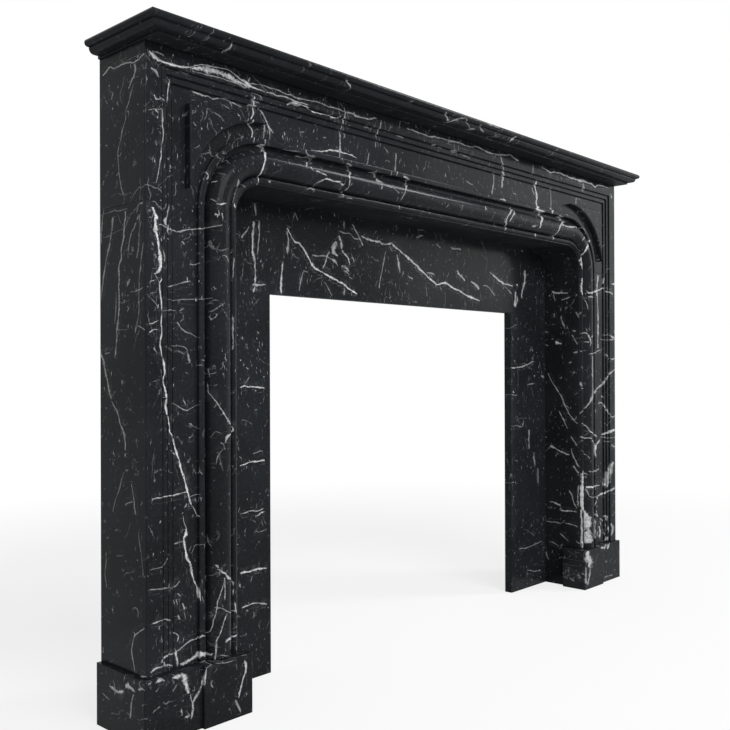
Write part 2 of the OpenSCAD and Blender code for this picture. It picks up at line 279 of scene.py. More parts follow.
@dataclass(frozen=True)
class Vein:
    """One vein: its centreline on a face, its half width in millimetres and its whiteness."""

    line: tuple[float, ...]
    half: float | tuple[float, ...]
    white: float
    # In millimetres: the step along the course; the side waves as two heights and lengths, and
    # the width's ripples as two shares and lengths; the share of the width at a tip and the tip's
    # length; the least half width.
    step: ClassVar[float] = 4.0
    waves: ClassVar[tuple[float, ...]] = (0.4, 5.0, 0.3, 2.3)
    ripples: ClassVar[tuple[float, ...]] = (0.2, 8.0, 0.18, 3.4)
    tips: ClassVar[tuple[float, float]] = (0.55, 5.0)
    least: ClassVar[float] = 0.35
    # The room round the vein in which points are looked at; how far beside it its distance is
    # kept in full, and over what width that fades; the fade past its ends.
    room: ClassVar[float] = 10.0
    beside: ClassVar[tuple[float, float]] = (5.5, 4.0)
    past: ClassVar[float] = 3.0

    def course(self) -> tuple[Array, Array]:
        """The centreline as a smooth curve through its points, with the half width along it.

        Between two points the curve is the cubic whose slope at each point is half the step
        between that point's neighbours. Small waves of two lengths make it uneven.

        Returns:
            The curve's points and the half width at each.
        """
        p = np.array(self.line, float).reshape(-1, 2)
        half = np.broadcast_to(np.asarray(self.half, float), len(p)).astype(float)
        ends = np.vstack([2 * p[0] - p[1], p, 2 * p[-1] - p[-2]])
        count = np.maximum(2, (np.linalg.norm(np.diff(p, axis=0), axis=1) / self.step).astype(int))
        index = np.repeat(np.arange(len(p) - 1), count)
        t = (np.arange(count.sum()) - np.repeat(np.cumsum(count) - count, count)) / count[index]
        t = np.append(t, 1.0)[:, None]
        index = np.append(index, len(p) - 2)
        a, b, c, d = (ends[index + k] for k in range(4))
        curve = 0.5 * (2 * b + (c - a) * t + (2 * a - 5 * b + 4 * c - d) * t**2
                       + (3 * b - a - 3 * c + d) * t**3)
        width = half[index] * (1 - t[:, 0]) + half[np.minimum(index + 1, len(p) - 1)] * t[:, 0]
        way = np.concatenate([[0.0], np.cumsum(np.linalg.norm(np.diff(curve, axis=0), axis=1))])
        phase = p[0].sum()
        high, long, low, short = self.waves
        wave = high * np.sin(way / long + phase) + low * np.sin(way / short + 2 * phase)
        ahead = np.gradient(curve, axis=0)
        ahead /= np.maximum(np.linalg.norm(ahead, axis=1, keepdims=True), 1e-9)
        curve = curve + np.column_stack([-ahead[:, 1], ahead[:, 0]]) * wave[:, None]
        high, long, low, short = self.ripples
        width = width * (1 + high * np.sin(way / long + phase) + low * np.sin(way / short - phase))
        tip = np.minimum(way, way[-1] - way)
        width = width * np.clip(self.tips[0] + tip / self.tips[1], 0.0, 1.0)
        return curve, np.maximum(width, self.least)

    def near(self, place: Array) -> tuple[Array, Array]:
        """Distance of points from the vein, in half widths, with a sign for the side.

        Args:
            place: Points in the face's plane.

        Returns:
            The signed distance over the half width, and how strongly the vein shows there.
        """
        curve, width = self.course()
        apart = np.full(len(place), 1e3)
        shows = np.zeros(len(place))
        low = curve.min(axis=0) - width.max() - self.room
        high = curve.max(axis=0) + width.max() + self.room
        inside = np.flatnonzero(np.all((place > low) & (place < high), axis=1))
        if len(inside) == 0:
            return apart, shows
        q = place[inside]
        a, step = curve[:-1], np.diff(curve, axis=0)
        length2 = np.maximum((step**2).sum(axis=1), 1e-9)
        raw = ((q[:, None] - a) * step).sum(axis=2) / length2
        along = np.clip(raw, 0.0, 1.0)
        gap = q[:, None] - a - along[:, :, None] * step
        far = np.sqrt((gap**2).sum(axis=2))
        best = far.argmin(axis=1)
        pick = np.arange(len(q))
        near, share = far[pick, best], along[pick, best]
        cross = step[best, 0] * (q - a[best])[:, 1] - step[best, 1] * (q - a[best])[:, 0]
        half = width[best] * (1 - share) + width[best + 1] * share
        past_end = np.where((best == 0) & (raw[pick, best] < 0), near, 0.0)
        past_end = np.where((best == len(a) - 1) & (raw[pick, best] > 1), near, past_end)
        apart[inside] = np.sign(cross + 1e-12) * near / half
        fade = 1 - np.clip((near - half - self.beside[0]) / self.beside[1], 0.0, 1.0)
        shows[inside] = self.white * fade * (1 - np.clip(past_end / self.past, 0.0, 1.0))
        return apart, shows


def lay_veins(piece: bpy.types.Object, beds: Sequence[tuple[Plane, Test, Sequence[Vein]]]) -> None:
    """Stores the veins of a stone on its points, several channels deep.

    A channel holds the signed distance and the strength of veins that stay apart. A vein goes to
    the first of the channels in which the fewest points near it are taken.

    Args:
        piece: The stone.
        beds: For each face its plane, a test that picks its points, and its veins.
    """
    mesh = piece.data
    place = np.empty(len(mesh.vertices) * 3)
    mesh.vertices.foreach_get("co", place)
    place = place.reshape(-1, 3) / MM
    apart = np.full((CHANNELS, len(place)), FAR)
    shows = np.zeros((CHANNELS, len(place)))
    for plane, test, veins in beds:
        u, v, add = plane.value
        index = np.flatnonzero(test(place))
        flat = place[index][:, [u, v]] + np.array([add, 0.0])
        for vein in veins:
            distance, strength = vein.near(flat)
            touched = strength > 0.0
            if not touched.any():
                continue
            rows = index[touched]
            k = int((shows[:, rows] > 0.0).sum(axis=1).argmin())
            closer = np.abs(distance[touched]) < np.abs(apart[k, rows])
            taken = closer | (shows[k, rows] <= 0.0)
            apart[k, rows[taken]] = np.clip(distance[touched][taken], -FAR, FAR)
            shows[k, rows[taken]] = strength[touched][taken]
    for name, rows in (("vein_a", apart[:3]), ("vein_b", apart[3:]), ("show_a", shows[:3]), ("show_b", shows[3:])):
        layer = mesh.attributes.new(name, "FLOAT_VECTOR", "POINT")
        layer.data.foreach_set("vector", rows.T.astype(np.float32).ravel())


# Finishes ----------------------------------------------------------------------------------


class Graph:
    """The node tree of a material or a world, with short ways to add to it."""

    def __init__(self, name: str) -> None:
        """Starts a material with one principled shader.

        Args:
            name: The material's name.
        """
        self.material = bpy.data.materials.new(name)
        self.start(self.material, "OutputMaterial")
        self.shader = self.tree.nodes.new("ShaderNodeBsdfPrincipled")
        self.put(self.output.inputs[0], self.shader.outputs[0])

    @classmethod
    def of_world(cls, world: bpy.types.World) -> "Graph":
        """Starts the tree of a world.

        Args:
            world: The world.

        Returns:
            Its graph, without a principled shader.
        """
        graph = cls.__new__(cls)
        graph.start(world, "OutputWorld")
        return graph

    def start(self, owner: bpy.types.ID, output: str) -> None:
        """Clears an owner's tree and adds its output.

        Args:
            owner: The material or world.
            output: The output node's type without the common prefix.
        """
        owner.use_nodes = True
        self.tree = owner.node_tree
        self.tree.nodes.clear()
        self.output = self.tree.nodes.new("ShaderNode" + output)

    def put(self, socket: Socket, value: object) -> None:
        """Links a socket to another, or writes a plain value on it.

        Args:
            socket: The input that gets the value.
            value: Another socket, a number or a colour.
        """
        if isinstance(value, Socket):
            self.tree.links.new(value, socket)
        else:
            socket.default_value = value

    def add(self, kind: str, out: int | str = 0, settings: dict | None = None, **inputs: object) -> Socket:
        """Adds a node.

        Args:
            kind: Its type without the common prefix.
            out: Which output is returned.
            settings: Properties of the node.
            inputs: Values or sockets for its inputs, by name or as i0, i1 and so on.

        Returns:
            The output socket.
        """
        node = self.tree.nodes.new("ShaderNode" + kind)
        for key, value in (settings or {}).items():
            setattr(node, key, value)
        for key, value in inputs.items():
            self.put(node.inputs[int(key[1:]) if key[1:].isdigit() else key], value)
        return node.outputs[out]

    def math(self, operation: str, a: object, b: object = 0.0) -> Socket:
        """One arithmetic step on numbers."""
        return self.add("Math", settings={"operation": operation}, i0=a, i1=b)

    def vector(self, operation: str, a: object, b: object = (0.0, 0.0, 0.0)) -> Socket:
        """One arithmetic step on vectors."""
        return self.add("VectorMath", settings={"operation": operation}, i0=a, i1=b)

    def dot(self, a: object, b: object) -> Socket:
        """Dot product of two vectors."""
        return self.add("VectorMath", 1, settings={"operation": "DOT_PRODUCT"}, i0=a, i1=b)

    def most(self, values: Sequence[Socket]) -> Socket:
        """The largest of several numbers.

        Args:
            values: The numbers, at least one.

        Returns:
            The largest.
        """
        most = values[0]
        for value in values[1:]:
            most = self.math("MAXIMUM", most, value)
        return most

    def looked_at(self) -> Socket:
        """1 for what the camera sees directly, in gloss or through glass, else 0."""
        path = self.tree.nodes.new("ShaderNodeLightPath").outputs
        return self.most([path[kind + " Ray"] for kind in ("Is Camera", "Is Glossy", "Is Transmission")])

    def parts(self, value: object) -> list[Socket]:
        """The three numbers of a vector."""
        return list(self.add("SeparateXYZ", Vector=value).node.outputs)

    def noise(self, place: object, scale: float, detail: float = 2.0, out: int = 0, rough: float = 0.5) -> Socket:
        """Cloudy noise at a scale per metre; output 1 is its colour."""
        return self.add("TexNoise", out, Vector=place, Scale=scale, Detail=detail, Roughness=rough)

    def swirl(self, place: object, scale: float, detail: float = 3.0, rough: float = 0.5) -> Socket:
        """Noise as a vector that lies about zero."""
        return self.vector("SUBTRACT", self.noise(place, scale, detail, 1, rough), (0.5, 0.5, 0.5))

    def scaled(self, value: object, factor: float) -> Socket:
        """A vector times a number."""
        return self.vector("MULTIPLY", value, (factor, factor, factor))

    def span(self, value: object, low: float, high: float, to_low: float = 0.0, to_high: float = 1.0) -> Socket:
        """Carries a number from one span to another with smooth ends."""
        return self.add("MapRange", settings={"interpolation_type": "SMOOTHSTEP"}, i0=value, i1=low, i2=high,
                        i3=to_low, i4=to_high)

    def mix(self, share: object, a: object, b: object) -> Socket:
        """Mixes two colours."""
        return self.add("Mix", 2, settings={"data_type": "RGBA"}, i0=share, i6=a, i7=b)


def grey(level: float, warm: float = 0.0) -> tuple[float, float, float, float]:
    """A near neutral colour, cooler for a negative warmth."""
    return (level * (1 + warm), level, level * (1 - warm), 1.0)


@dataclass(frozen=True)
class Family:
    """One family of fine marks, drawn on cells that are longer than wide."""

    turn: float  # lean in radians, added to the stone's own
    long: float  # length of a cell over its width
    scale: float  # cells per metre across
    half: float  # half width of a mark in metres
    level: float  # whiteness
    gate: float = 0.0  # level of a cloud below which marks are left out


@dataclass(frozen=True)
class Marble:
    """Polished black marble with white veins, hairlines and short strokes."""

    name: str
    shift: Triple
    lean: float
    hairs: float = 1.0
    strokes: float = 1.0
    drift: float = 0.3
    ground: ClassVar[float] = 0.0118
    roughness: ClassVar[tuple[float, float]] = (0.14, 0.22)
    honed: ClassVar[float] = 0.6
    refraction: ClassVar[float] = 1.5
    gloss: ClassVar[float] = 0.05
    hairlines: ClassVar[tuple[Family, ...]] = (
        Family(0.10, 2.2, 11.0, 0.0005, 0.20, 0.54),
        Family(-0.85, 1.8, 9.0, 0.0005, 0.20, 0.56),
        Family(1.15, 2.0, 17.0, 0.0005, 0.20, 0.57),
        Family(0.45, 2.0, 32.0, 0.0005, 0.28, 0.57),
    )
    dashes: ClassVar[tuple[Family, ...]] = (
        Family(0.2, 9.0, 150.0, 0.0007, 0.75),
        Family(-0.9, 8.0, 120.0, 0.0007, 0.75),
        Family(1.2, 7.0, 140.0, 0.0006, 0.75),
        Family(0.7, 2.0, 130.0, 0.0009, 0.7),
    )

    def cells(self, g: Graph, sheet: Socket, family: Family, feature: str) -> tuple[Socket, Socket]:
        """Stretched cells on the sheet.

        Args:
            g: The material's graph.
            sheet: The place on the stone, laid flat.
            family: The marks that the cells are for.
            feature: Which distance the cells give.

        Returns:
            The distance, and a random colour for each cell.
        """
        leant = g.add("Mapping", Vector=sheet, Location=(family.scale, family.turn, 0.0),
                      Rotation=(0.0, 0.0, self.lean + family.turn), Scale=(1.0, 1.0 / family.long, 1.0))
        apart = g.add("TexVoronoi", "Distance", settings={"voronoi_dimensions": "2D", "feature": feature},
                      Vector=leant, Scale=family.scale)
        return apart, apart.node.outputs.get("Color")

    def hairline(self, g: Graph, sheet: Socket, family: Family) -> Socket:
        """Thin lines along the edges of stretched cells, broken where a cloud is below the gate.

        Args:
            g: The material's graph.
            sheet: The place on the stone, laid flat.
            family: The family of lines.

        Returns:
            The lines, from 0 to 1.
        """
        apart = self.cells(g, sheet, family, "DISTANCE_TO_EDGE")[0]
        reach = family.half * family.scale
        line = g.span(apart, reach * 1.5, reach * 0.4)
        patch = g.vector("ADD", sheet, (3.1 + family.turn, 7.7, family.scale))
        patch = g.noise(patch, family.scale * 1.7, 3.0, rough=0.6)
        line = g.math("MULTIPLY", line, g.span(patch, family.gate, family.gate + 0.12))
        return g.math("MULTIPLY", line, family.level * self.hairs)

    def stroke(self, g: Graph, sheet: Socket, family: Family, share: Socket) -> Socket:
        """Short strokes: the middles of stretched cells, each with a width and a tone of its own.

        Args:
            g: The material's graph.
            sheet: The place on the stone, laid flat.
            family: The family of strokes; its half width is the largest stroke's.
            share: Share of the cells that hold a stroke.

        Returns:
            The strokes, from 0 to 1.
        """
        apart, random = self.cells(g, sheet, family, "F1")
        chance, tone, wide = g.parts(random)
        wide = g.math("ADD", g.math("MULTIPLY", wide, 0.7), 0.35)
        reach = g.math("MULTIPLY", wide, family.half * family.scale)
        shape = g.span(g.math("DIVIDE", apart, reach), 1.1, 0.5)
        shape = g.math("MULTIPLY", shape, g.math("LESS_THAN", chance, share))
        tone = g.math("ADD", g.math("MULTIPLY", g.math("POWER", tone, 3.0), 0.75), 0.11)
        return g.math("MULTIPLY", g.math("MULTIPLY", shape, tone), family.level * self.strokes)

    def laid(self, g: Graph, place: Socket, bent: Socket) -> tuple[list[Socket], Socket]:
        """The laid veins, read from the distances stored on the stone's points.

        A line falls smoothly from 1 near its middle to 0 past its edge. Two noises push its
        sides about, one makes it swell, and a cloud breaks it.

        Args:
            g: The material's graph.
            place: The place on the stone.
            bent: The place laid flat and warped.

        Returns:
            The lines of all channels, and how strongly any vein shows close by.
        """
        broken = g.span(g.noise(bent, 90.0, 3.0, rough=0.7), 0.30, 0.50, 0.45, 1.0)
        swell = g.span(g.noise(place, 42.0, 3.0, rough=0.7), 0.3, 0.7, 1.6, 0.6)
        slow = g.scaled(g.swirl(place, 48.0, 2.0), 1.2)
        smooth = {"data_type": "FLOAT_VECTOR", "interpolation_type": "SMOOTHSTEP"}
        marks, near = [], []
        for name, push in (("a", (0.0, 0.0, 0.0)), ("b", (4.0, 2.0, 9.0))):
            apart = g.add("Attribute", "Vector", settings={"attribute_name": "vein_" + name})
            shows = g.add("Attribute", "Vector", settings={"attribute_name": "show_" + name})
            rough = g.scaled(g.swirl(g.vector("ADD", place, push), 190.0, rough=0.75), 2.4)
            edge = g.vector("ABSOLUTE", g.vector("ADD", apart, g.vector("ADD", rough, slow)))
            edge = g.add("VectorMath", settings={"operation": "SCALE"}, i0=edge, i3=swell)
            line = g.add("MapRange", 1, settings=smooth, i6=edge, i7=(1.35, 1.35, 1.35), i8=(0.3, 0.3, 0.3),
                         i9=(0.0, 0.0, 0.0), i10=(1.0, 1.0, 1.0))
            marks += [g.math("MULTIPLY", vein, broken) for vein in g.parts(g.vector("MULTIPLY", line, shows))]
            near += g.parts(shows)
        return marks, g.most(near)

    def colour(self, g: Graph, place: Socket, bent: Socket, light: Socket) -> Socket:
        """Near black in a coarse and a fine cloud, with the marks in a clouded white over it.

        Args:
            g: The material's graph.
            place: The place on the stone.
            bent: The place laid flat and warped.
            light: All marks, from 0 to 1.

        Returns:
            The colour.
        """
        cloud = g.span(g.noise(bent, 5.0, 5.0, rough=0.6), 0.35, 0.7)
        base = g.mix(cloud, grey(self.ground * 0.8, -0.14), grey(self.ground * 1.35, -0.14))
        grain = g.math("MULTIPLY", g.span(g.noise(place, 260.0, 3.0), 0.45, 0.75), 0.3)
        base = g.mix(grain, base, grey(self.ground * 2.8, -0.08))
        tint = g.span(g.noise(place, 190.0, 3.0, rough=0.7), 0.35, 0.65)
        return g.mix(light, base, g.mix(tint, grey(0.42), grey(0.76, -0.02)))

    def polish(self, g: Graph, place: Socket, light: Socket) -> Socket:
        """Roughness: clouded, duller on the marks, and honed on faces that look straight down.

        Args:
            g: The material's graph.
            place: The place on the stone.
            light: All marks, from 0 to 1.

        Returns:
            The roughness.
        """
        polish = g.span(g.noise(place, 14.0, 4.0), 0.3, 0.7, *self.roughness)
        polish = g.math("ADD", polish, g.math("MULTIPLY", light, 0.12))
        under = g.span(g.parts(g.add("TexCoord", "Normal"))[2], -0.85, -0.97)
        return g.math("MAXIMUM", polish, g.math("MULTIPLY", under, self.honed))

    def build(self) -> bpy.types.Material:
        """Makes the material.

        The sheet lays every face flat: its first number is x + 0.6 y and its second z plus a share
        of y, so front, side and level faces all keep a pattern of their own. Where marks meet, the
        lightest shows.

        Returns:
            The finished material.
        """
        g = Graph(self.name)
        place = g.add("Mapping", Vector=g.add("TexCoord", "Object"), Location=self.shift)
        sheet = g.add("CombineXYZ", X=g.dot(place, (1.0, 0.6, 0.0)), Y=g.dot(place, (0.0, self.drift, 1.0)))
        warp, fine = g.swirl(place, 6.0), g.swirl(place, 85.0, rough=0.6)
        bent = g.vector("ADD", sheet, g.vector("ADD", g.scaled(warp, 0.07), g.scaled(fine, 0.013)))
        marks, close = self.laid(g, place, bent)
        veil = g.span(g.noise(bent, 55.0, 4.0, rough=0.65), 0.48, 0.78, 0.0, 0.09)
        marks.append(g.math("MULTIPLY", veil, close))
        marks += [self.hairline(g, bent, family) for family in self.hairlines]
        crowd = g.span(g.noise(place, 8.0, 3.0), 0.35, 0.70, 0.05, 0.50)
        crowd = g.math("ADD", crowd, g.math("MULTIPLY", close, 0.16))
        marks += [self.stroke(g, bent, family, crowd) for family in self.dashes]
        light = g.most(marks)
        g.put(g.shader.inputs["Base Color"], self.colour(g, place, bent, light))
        g.put(g.shader.inputs["Roughness"], self.polish(g, place, light))
        g.shader.inputs["IOR"].default_value = self.refraction
        g.shader.inputs["Specular IOR Level"].default_value = self.gloss
        dip = g.math("MULTIPLY", g.noise(place, 34.0, 3.0), 0.4)
        dip = g.math("SUBTRACT", dip, g.math("MULTIPLY", light, 0.15))
        g.put(g.shader.inputs["Normal"], g.add("Bump", Strength=0.12, Distance=0.0012, Height=dip))
        return g.material


@dataclass(frozen=True)
class Resin:
    """Black setting resin, as a thin dull line in the joints."""

    name: str = "setting resin"

    def build(self) -> bpy.types.Material:
        """Makes the material: near black with small pale grains and a soft sheen.

        Returns:
            The finished material.
        """
        g = Graph(self.name)
        place = g.add("TexCoord", "Object")
        grain = g.span(g.noise(place, 900.0, 2.0), 0.55, 0.75)
        g.put(g.shader.inputs["Base Color"], g.mix(grain, grey(0.004), grey(0.03, 0.05)))
        g.put(g.shader.inputs["Roughness"], g.span(g.noise(place, 300.0), 0.3, 0.7, 0.45, 0.65))
        g.shader.inputs["Specular IOR Level"].default_value = 0.08
        return g.material


@dataclass(frozen=True)
class Galvanised:
    """Zinc-coated steel with a soft spangle."""

    name: str = "galvanised steel"

    def build(self) -> bpy.types.Material:
        """Makes the material: cells of slightly different grey and roughness, with fine streaks.

        Returns:
            The finished material.
        """
        g = Graph(self.name)
        place = g.add("TexCoord", "Object")
        cells = g.add("TexVoronoi", "Color", Vector=place, Scale=160.0)
        level = g.add("SeparateColor", 0, i0=cells)
        streak = g.noise(g.add("Mapping", Vector=place, Scale=(30.0, 400.0, 400.0)), 2.0, 3.0)
        shade = g.math("ADD", g.math("MULTIPLY", level, 0.6), g.math("MULTIPLY", streak, 0.4))
        g.put(g.shader.inputs["Base Color"], g.mix(shade, grey(0.38, -0.02), grey(0.62, -0.03)))
        g.put(g.shader.inputs["Roughness"], g.span(shade, 0.2, 0.8, 0.32, 0.52))
        g.shader.inputs["Metallic"].default_value = 1.0
        g.put(g.shader.inputs["Normal"], g.add("Bump", Strength=0.1, Distance=0.0004, Height=streak))
        return g.material


@dataclass(frozen=True)
class SawnStone:
    """Rough backs and offcuts of the same stone: dull, with saw marks and dust."""

    name: str = "sawn offcut"

    def build(self) -> bpy.types.Material:
        """Makes the material: fine parallel saw marks over a dusty dark grey with pale lines.

        Returns:
            The finished material.
        """
        g = Graph(self.name)
        place = g.add("TexCoord", "Object")
        saw = g.add("TexWave", 1, Vector=place, Scale=120.0, Distortion=2.0, Detail=2.0)
        dust = g.span(g.noise(place, 22.0, 5.0, rough=0.65), 0.35, 0.7)
        base = g.mix(dust, grey(0.035, -0.03), grey(0.09, 0.02))
        line = g.span(g.math("ABSOLUTE", g.math("SUBTRACT", g.noise(place, 16.0, 3.0), 0.5)), 0.012, 0.0)
        g.put(g.shader.inputs["Base Color"], g.mix(g.math("MULTIPLY", line, 0.6), base, grey(0.4)))
        g.put(g.shader.inputs["Roughness"], g.span(saw, 0.0, 1.0, 0.66, 0.82))
        g.put(g.shader.inputs["Normal"], g.add("Bump", Strength=0.4, Distance=0.0006, Height=saw))
        return g.material


# Making and reporting pieces -----------------------------------------------------------------


def make_piece(name: str, skin: Skin, material: bpy.types.Material, slot: str, *nodes: str) -> bpy.types.Object:
    """Turns a skin into a piece of the surround.

    Points that coincide are merged, faces are turned outwards, and sharp edges stay sharp in the
    shading.

    Args:
        name: The piece's name.
        skin: Its points and faces in millimetres.
        material: Its finish.
        slot: Name of a material slot; not used.
        nodes: CAD nodes that it stands for.

    Returns:
        The piece.
    """
    mesh = bpy.data.meshes.new(name)
    mesh.from_pydata((skin.points * MM).tolist(), [], skin.faces.tolist())
    shape = bmesh.new()
    shape.from_mesh(mesh)
    bmesh.ops.remove_doubles(shape, verts=shape.verts, dist=WELD)
    bmesh.ops.dissolve_degenerate(shape, edges=shape.edges, dist=WELD / 2)
    bmesh.ops.recalc_face_normals(shape, faces=shape.faces)
    if shape.calc_volume(signed=True) < 0:
        bmesh.ops.reverse_faces(shape, faces=shape.faces)
    shape.to_mesh(mesh)
    shape.free()
    mesh.polygons.foreach_set("use_smooth", np.ones(len(mesh.polygons), bool))
    mesh.set_sharp_from_angle(angle=math.radians(SHARP))
    mesh.materials.append(material)
    piece = bpy.data.objects.new(name, mesh)
    bpy.context.scene.collection.objects.link(piece)
    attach(piece, "root")
    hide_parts(*nodes)
    LOG.info("%s: %d points, %d faces", name, len(mesh.vertices), len(mesh.polygons))
    return piece


def dress_node(node: str, material: bpy.types.Material) -> None:
    """Gives a CAD node its finish and leaves its shape as it is."""
    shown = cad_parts[node]
    shown.data.materials.clear()
    shown.data.materials.append(material)
    LOG.info("%s: CAD solid, finish %s", node, material.name)


def everywhere(place: Array) -> Array:
    """Picks every point."""
    return np.ones(len(place), bool)


def beyond(limit: float) -> Test:
    """A test for the points outside a distance from the middle, on either side."""
    return lambda place: np.abs(place[:, 0]) >= limit


def within(limit: float) -> Test:
    """A test for the points inside a distance from the middle."""
    return lambda place: np.abs(place[:, 0]) < limit


def left_of(limit: float) -> Test:
    """A test for the points outside a distance from the middle, on the left."""
    return lambda place: place[:, 0] <= -limit


# Stones --------------------------------------------------------------------------------------


@dataclass(frozen=True)
class Build:
    """Main sizes that all stones share."""

    body_x: float = 742.5
    wall: float = 96.0
    band: float = -35.0
    back: float = 15.0
    slip: float = 76.0
    opening_x: float = 562.5
    opening_top: float = 887.0
    arch_x: float = 505.5
    arch_r: float = 57.0
    spring: float = 830.0
    top: float = 1072.0
    slab: float = 20.0
    near: float = 0.4
    arc_steps: int = 48
    run_steps: int = 230

    @property
    def face_x(self) -> float:
        """Distance from the middle past which a point counts as on the outer side."""
        return self.body_x - self.near

    def over(self, radius: float) -> Array:
        """Path round the opening's top: a quarter circle, a level run and a quarter circle.

        Args:
            radius: Distance of the path from the middles of the two corners.

        Returns:
            Points in X and Z from the left springing to the right one.
        """
        left = arc((-self.arch_x, self.spring), radius, 180.0, 90.0, self.arc_steps + 1)
        run = np.linspace(-self.arch_x, self.arch_x, self.run_steps + 1)
        level = np.column_stack([run, np.full(len(run), self.spring + radius)])
        right = arc((self.arch_x, self.spring), radius, 90.0, 0.0, self.arc_steps + 1)
        return np.vstack([left[:-1], level, right[1:]])

    def round_edge(self, inset: float, half: float, top: float) -> Array:
        """Path up one end, along the top and down the other end, with the same number of points.

        Args:
            inset: Distance from the outer edge.
            half: Half the width across the outer edges.
            top: Height of the outer edge.

        Returns:
            Points in X and Z that match those of the path over the opening.
        """
        x, z, steps = half - inset, top - inset, self.arc_steps // 2
        rise = np.column_stack([np.full(steps, -x), np.linspace(self.spring, z, steps + 1)[:-1]])
        shoulder = np.column_stack([np.linspace(-x, -self.arch_x, steps + 1)[:-1], np.full(steps, z)])
        run = np.linspace(-self.arch_x, self.arch_x, self.run_steps + 1)
        half_way = np.vstack([rise, shoulder])
        level = np.column_stack([run, np.full(len(run), z)])
        return np.vstack([half_way, level, half_way[::-1] * np.array([-1.0, 1.0])])


@dataclass(frozen=True)
class LegSection:
    """Section of the stepped border, the field and the roll moulding, from the outside inward."""

    band_w: float = 30.0
    band_r: float = 1.6
    steps: int = 3
    step_w: float = 11.0
    step_d: float = 3.0
    step_r: float = 1.3
    line_w: float = 2.6
    line_d: float = 1.8
    line_r: Triple = (0.4, 0.4, 0.7)
    lead: float = 4.0
    fillet_w: float = 11.0
    fillet_back: float = 1.5
    fillet_r: float = 2.6
    quirk_w: float = 9.0
    quirk_d: float = 14.0
    quirk_r: float = 1.0
    roll_r: float = 23.0
    groove: tuple[tuple[float, float], ...] = ((-0.5, 2.2), (0.0, 0.4))
    bead_r: float = 5.5
    margin_w: float = 3.0
    margin_r: float = 1.4

    @property
    def field_d(self) -> float:
        """Depth of the field behind the band."""
        return self.steps * self.step_d

    @property
    def moulding_w(self) -> float:
        """Width from the moulding's edge to the opening."""
        return self.fillet_w + self.quirk_w + 2 * (self.roll_r + self.bead_r) + self.margin_w

    def border(self, band: float, back: float) -> Array:
        """Outer side, band and steps down to the field. Each step has a sunk line at its foot.

        Args:
            band: Y of the band.
            back: Y of the stone's back.

        Returns:
            Distance inward and Y of each point.
        """
        corners = [(0.0, back, 0.0), (0.0, band, self.band_r)]
        for i in range(self.steps):
            x, y = self.band_w + i * self.step_w, band + i * self.step_d
            foot, end = y + self.step_d, x + self.line_w
            chain = ((x, foot + self.line_d), (end, foot + self.line_d), (end, foot))
            corners += [(x, y, self.step_r)] + [(*place, r) for place, r in zip(chain, self.line_r)]
        return ease(corners + [(end + self.lead, foot, 0.0)])

    def moulding(self, band: float, back: float) -> Array:
        """Fillet, hollow, roll, bead and margin.

        Args:
            band: Y of the border's band.
            back: Y of the stone's back.

        Returns:
            Distance from the moulding's edge and Y of each point.
        """
        field, quirk = band + self.field_d, band + self.quirk_d
        fillet = band + self.fillet_back
        roll_s = self.fillet_w + self.quirk_w + self.roll_r
        roll_end = roll_s + self.roll_r
        bead_s, bead_y = roll_end + self.bead_r, fillet + self.bead_r
        lead = ease([(-2.0, field, 0.0), (0.0, field, 0.5), (0.0, fillet, self.fillet_r),
                     (self.fillet_w, fillet, self.fillet_r), (self.fillet_w, quirk, self.quirk_r),
                     (roll_s - self.roll_r, quirk, 0.0)])
        dip = math.degrees(math.asin((quirk - bead_y) / self.roll_r))
        roll = arc((roll_s, quirk), self.roll_r, 180.0, 360.0 - dip, 34)
        groove = np.array(self.groove) + np.array([roll_end, bead_y])
        bead = arc((bead_s, bead_y), self.bead_r, 180.0, 360.0, 15)
        start, edge = bead_s + self.bead_r, self.moulding_w
        tail = ease([(start, bead_y, 0.0), (edge, bead_y, self.margin_r), (edge, back, 0.0)])
        return np.vstack([lead, roll[1:], groove, bead, tail[1:]])


